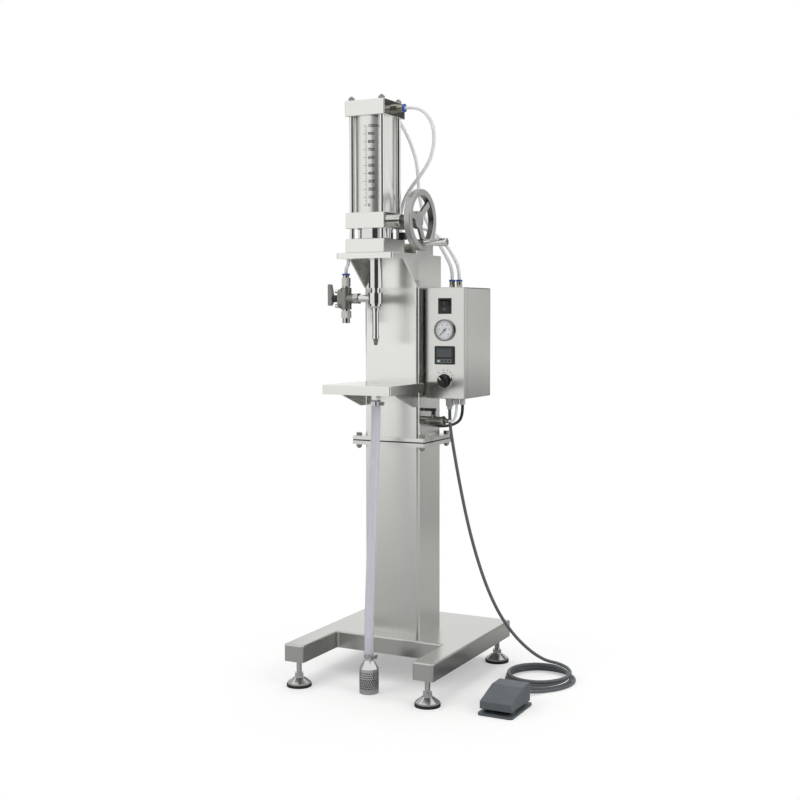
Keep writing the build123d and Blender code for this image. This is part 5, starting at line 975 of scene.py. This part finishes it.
class FILLER_OT_finishes(bpy.types.Operator):
    """Give every solid of the machine its finish"""

    bl_idname = "filler.finishes"
    bl_label = "Finishes"

    def execute(self, context):
        colours = settings("finish")
        sheet = colours.stainless
        grain = colours.stainless_dark
        box_sheet = colours.box_sheet
        box_grain = colours.box_sheet_dark
        pale_sheet = shade(sheet, 0.96)
        base_shade = 0.86
        upright_grain = (1.2, 1.2, 180.0)
        flange_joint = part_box("lower_column")[1][2]
        # Finishes of solids with two: colour, metallic and roughness of each
        rod = (colours.chrome, 1.0, 0.04)
        cap = (linear("#8c8c88"), 1.0, 0.2)
        bar = (linear("#8a8a86"), 1.0, 0.3)
        stem = (linear("#161616"), 0.0, 0.3)
        screws = (colours.chrome, 1.0, 0.12)
        cover = (colours.casting, 0.9, 0.36)
        # Where these two meet, in metres: heights, then places along X
        cap_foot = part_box("top_head")[1][2]
        cone_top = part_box("nozzle_tip")[0][2] + 0.0147
        bar_end = -0.1101
        screw_seat = -0.0929
        # The wheel's inner wall, 14.5 mm from its outside, lies just within this radius
        wheel_low, wheel_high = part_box("handwheel")
        rim_inside = (wheel_high[2] - wheel_low[2]) / 2 - 0.0143
        # The strainer's band of holes, in metres
        basket_radius = 0.021
        basket_span = (0.008, 0.05)
        polish_depth = 0.000002

        # A finish's first number is its roughness, a second the size of its grain or marks in millimetres
        finishes = [
            # Stainless sheet, belt-brushed: pale and soft, with fine straight lines drawn wide enough to show
            # Both columns carry a painted line of shade where their flanges meet
            (brushed_metal(
                "brushed_stainless_upright", sheet, grain, upright_grain, 0.32, spread=0.7,
                joint=flange_joint),
             ["lower_column"]),
            (brushed_metal(
                "brushed_stainless_post", sheet, grain, upright_grain, 0.24, spread=0.8,
                joint=flange_joint),
             ["upper_column"]),
            (brushed_metal("brushed_stainless_level", sheet, grain, (180.0, 1.2, 1.2), 0.22),
             ["bottle_table", "head_bracket", "manifold_box"]),
            # Stainless sheet of the control box, brushed coarser: a little darker
            (brushed_metal("brushed_box_sheet", box_sheet, box_grain, (1.4, 1.4, 150.0), 0.2, spread=0.6),
             ["control_box", "control_panel"]),
            # Stainless sheet of the base, brushed along its legs
            (brushed_metal(
                "brushed_base_sheet", shade(box_sheet, base_shade), shade(box_grain, base_shade),
                (1.4, 180.0, 1.4), 0.24),
             ["base_frame"]),
            # Stainless bar, milled and lightly brushed: brighter, with shorter lines
            (brushed_metal("milled_stainless", pale_sheet, grain, (60.0, 1.0, 1.0), 0.14),
             ["bottom_head", "middle_head", "top_head"]),
            # Stainless tube, honed: silky, with a broad soft reflection and faint lines along the tube
            (brushed_metal("honed_stainless", pale_sheet, grain, (1.6, 1.6, 160.0), 0.3), ["cylinder_tube"]),
            # Stainless, ground and polished: mirror-like with faint wiping marks
            (polished_metal("polished_stainless", colours.chrome, 0.09),
             ["lower_barrel", "crank_grip", "nozzle_body", "throttle_plug", "selector_ring"]),
            # Polished tie rods with duller cap nuts on the top block
            (two_finishes("rods_and_nuts", cap_foot, rod, cap, axis=2, depth=polish_depth), ["tie_rods"]),
            # Polished nozzle tube with a duller cone at its end, which is 14.7 mm long
            (two_finishes("tube_and_cone", cone_top, cap, rod, axis=2, depth=polish_depth), ["nozzle_tip"]),
            # Nickel-plated brass and steel that has dulled
            (polished_metal("dull_nickel", linear("#8d8c86"), 0.22, 6.0),
             ["flange_bolts", "ball_valve_body"]),
            # Zinc-plated and stainless fasteners: bright, slightly worn
            (polished_metal("fastener_steel", shade(colours.chrome, 0.85), 0.2, 6.0),
             ["levelling_feet", "hose_clamps"]),
            # Turned stainless nuts: a shade darker, with a soft shine
            (polished_metal("turned_stainless", linear("#c2c2bd"), 0.12, 8.0), ["valve_nuts"]),
            # Chromed hand wheel casting, turned on its faces, with painted shade darkening its inner walls
            (turned_casting(
                "satin_chrome", colours.wheel, shade(colours.wheel, 0.3), middle_of("handwheel"), rim_inside),
             ["handwheel", "spindle"]),
            # Investment-cast stainless: dull grey with the mould's grain
            (cast_metal("cast_stainless", colours.casting, 0.36, 1.0), ["valve_body"]),
            # Cast bonnet with bright screws at its left
            (two_finishes("bonnet_and_screws", screw_seat, screws, cover), ["valve_bonnet"]),
            # Valve handle: grey satin bar at the left, black collar and stem at the right
            (two_finishes("handle_and_stem", bar_end, bar, stem), ["valve_handle"]),
            # Strainer of perforated stainless tube, its holes painted dark as shade of its inside
            (perforated_steel(
                "perforated_stainless", shade(colours.chrome, 0.9), hose_route[-1], basket_radius,
                basket_span),
             ["strainer"]),
            # Polished gauge ring
            (polished_metal("polished_gauge_steel", shade(colours.chrome, 0.28), 0.12), ["gauge_case"]),
            # Nickel-plated brass fittings
            (polished_metal("nickel_plate", linear("#a9a698"), 0.2, 10.0),
             ["air_fittings", "solenoid_valve"]),
            # Nitrile rubber: black and dull
            (moulded_plastic("nitrile_rubber", linear("#1c1c1c"), 0.65, 0.7), ["foot_pads", "piston_seals"]),
            # Black nylon and ABS parts of the panel: fine grain, soft shine
            (moulded_plastic("black_abs", linear("#191a1b"), 0.35, 0.8),
             ["position_sensor", "switch_bezel", "rocker", "timer_case", "selector_knob", "gauge_needle",
              "pedal_switch", "ball_valve_lever"]),
            # Grey nylon glands
            (moulded_plastic("grey_nylon", linear("#a9aaa8"), 0.42, 0.9), ["cable_gland"]),
            # Pedal of textured ABS: dark grey, dull
            (moulded_plastic("textured_abs", colours.pedal, 0.46, 1.0, depth=0.00012),
             ["pedal_base", "pedal_treadle"]),
            # Acetal collars: blue, smooth
            (moulded_plastic("blue_acetal", colours.collar, 0.3, 1.5), ["fitting_collars"]),
            # Polycarbonate lens: clear and hard
            (clear_plastic("polycarbonate", linear("#fbfbfc"), 0.03, transmission=0.0, cover=0.1),
             ["gauge_lens"]),
            # Milky air tube
            (clear_plastic("polyurethane_stub", settings("cords").tubing_colour, 0.25, transmission=0.2),
             ["valve_air_tube"]),
            # White piston of acetal
            (moulded_plastic("white_acetal", linear("#d8d9d6"), 0.35, 2.0), ["piston"]),
        ]
        # The solids that a cord or the coiled spring stands for
        done = {
            "top_air_tube", "box_air_tube_1", "box_air_tube_2", "valve_tube", "supply_hose", "suction_hose",
            "cable_drop", "cable_coil", "cable_tail", "pedal_spring",
        }
        for material, names in finishes:
            for name in names:
                slots = nodes[name].material_slots
                if not slots:
                    raise RuntimeError(name + " has no material slot")
                for slot in slots:
                    slot.material = material
            done.update(names)
        missing = set(nodes) - done
        if missing:
            raise RuntimeError("no finish for " + ", ".join(sorted(missing)))
        return {"FINISHED"}


class FILLER_PT_panel(bpy.types.Panel):
    """Lists the pieces that can be added"""

    bl_idname = "FILLER_PT_panel"
    bl_label = "Liquid filling machine"
    bl_space_type = "VIEW_3D"
    bl_region_type = "UI"
    bl_category = "Filler"

    def draw(self, context):
        for operator in operators:
            self.layout.operator(operator.bl_idname)


groups = {
    "stage": FillerStageSettings,
    "cords": FillerCordSettings,
    "marks": FillerMarkSettings,
    "finish": FillerFinishSettings,
}
operators = [
    FILLER_OT_stage, FILLER_OT_cords, FILLER_OT_scale, FILLER_OT_gauge, FILLER_OT_timer, FILLER_OT_marks,
    FILLER_OT_spring, FILLER_OT_finishes,
]


def register():
    """Register the settings, the operators and the panel."""
    for name, group in groups.items():
        bpy.utils.register_class(group)
        setattr(bpy.types.Scene, "filler_" + name, bpy.props.PointerProperty(type=group))
    for operator in operators:
        bpy.utils.register_class(operator)
    bpy.utils.register_class(FILLER_PT_panel)


def unregister():
    """Take the settings, the operators and the panel away."""
    bpy.utils.unregister_class(FILLER_PT_panel)
    for operator in reversed(operators):
        bpy.utils.unregister_class(operator)
    for name, group in groups.items():
        delattr(bpy.types.Scene, "filler_" + name)
        bpy.utils.unregister_class(group)


def main():
    """Dress the machine."""
    register()
    bpy.ops.filler.stage()
    bpy.ops.filler.cords()
    bpy.ops.filler.scale()
    bpy.ops.filler.gauge()
    bpy.ops.filler.timer()
    bpy.ops.filler.marks()
    bpy.ops.filler.spring()
    bpy.ops.filler.finishes()
    deselect_all()


if __name__ == "__main__":
    main()
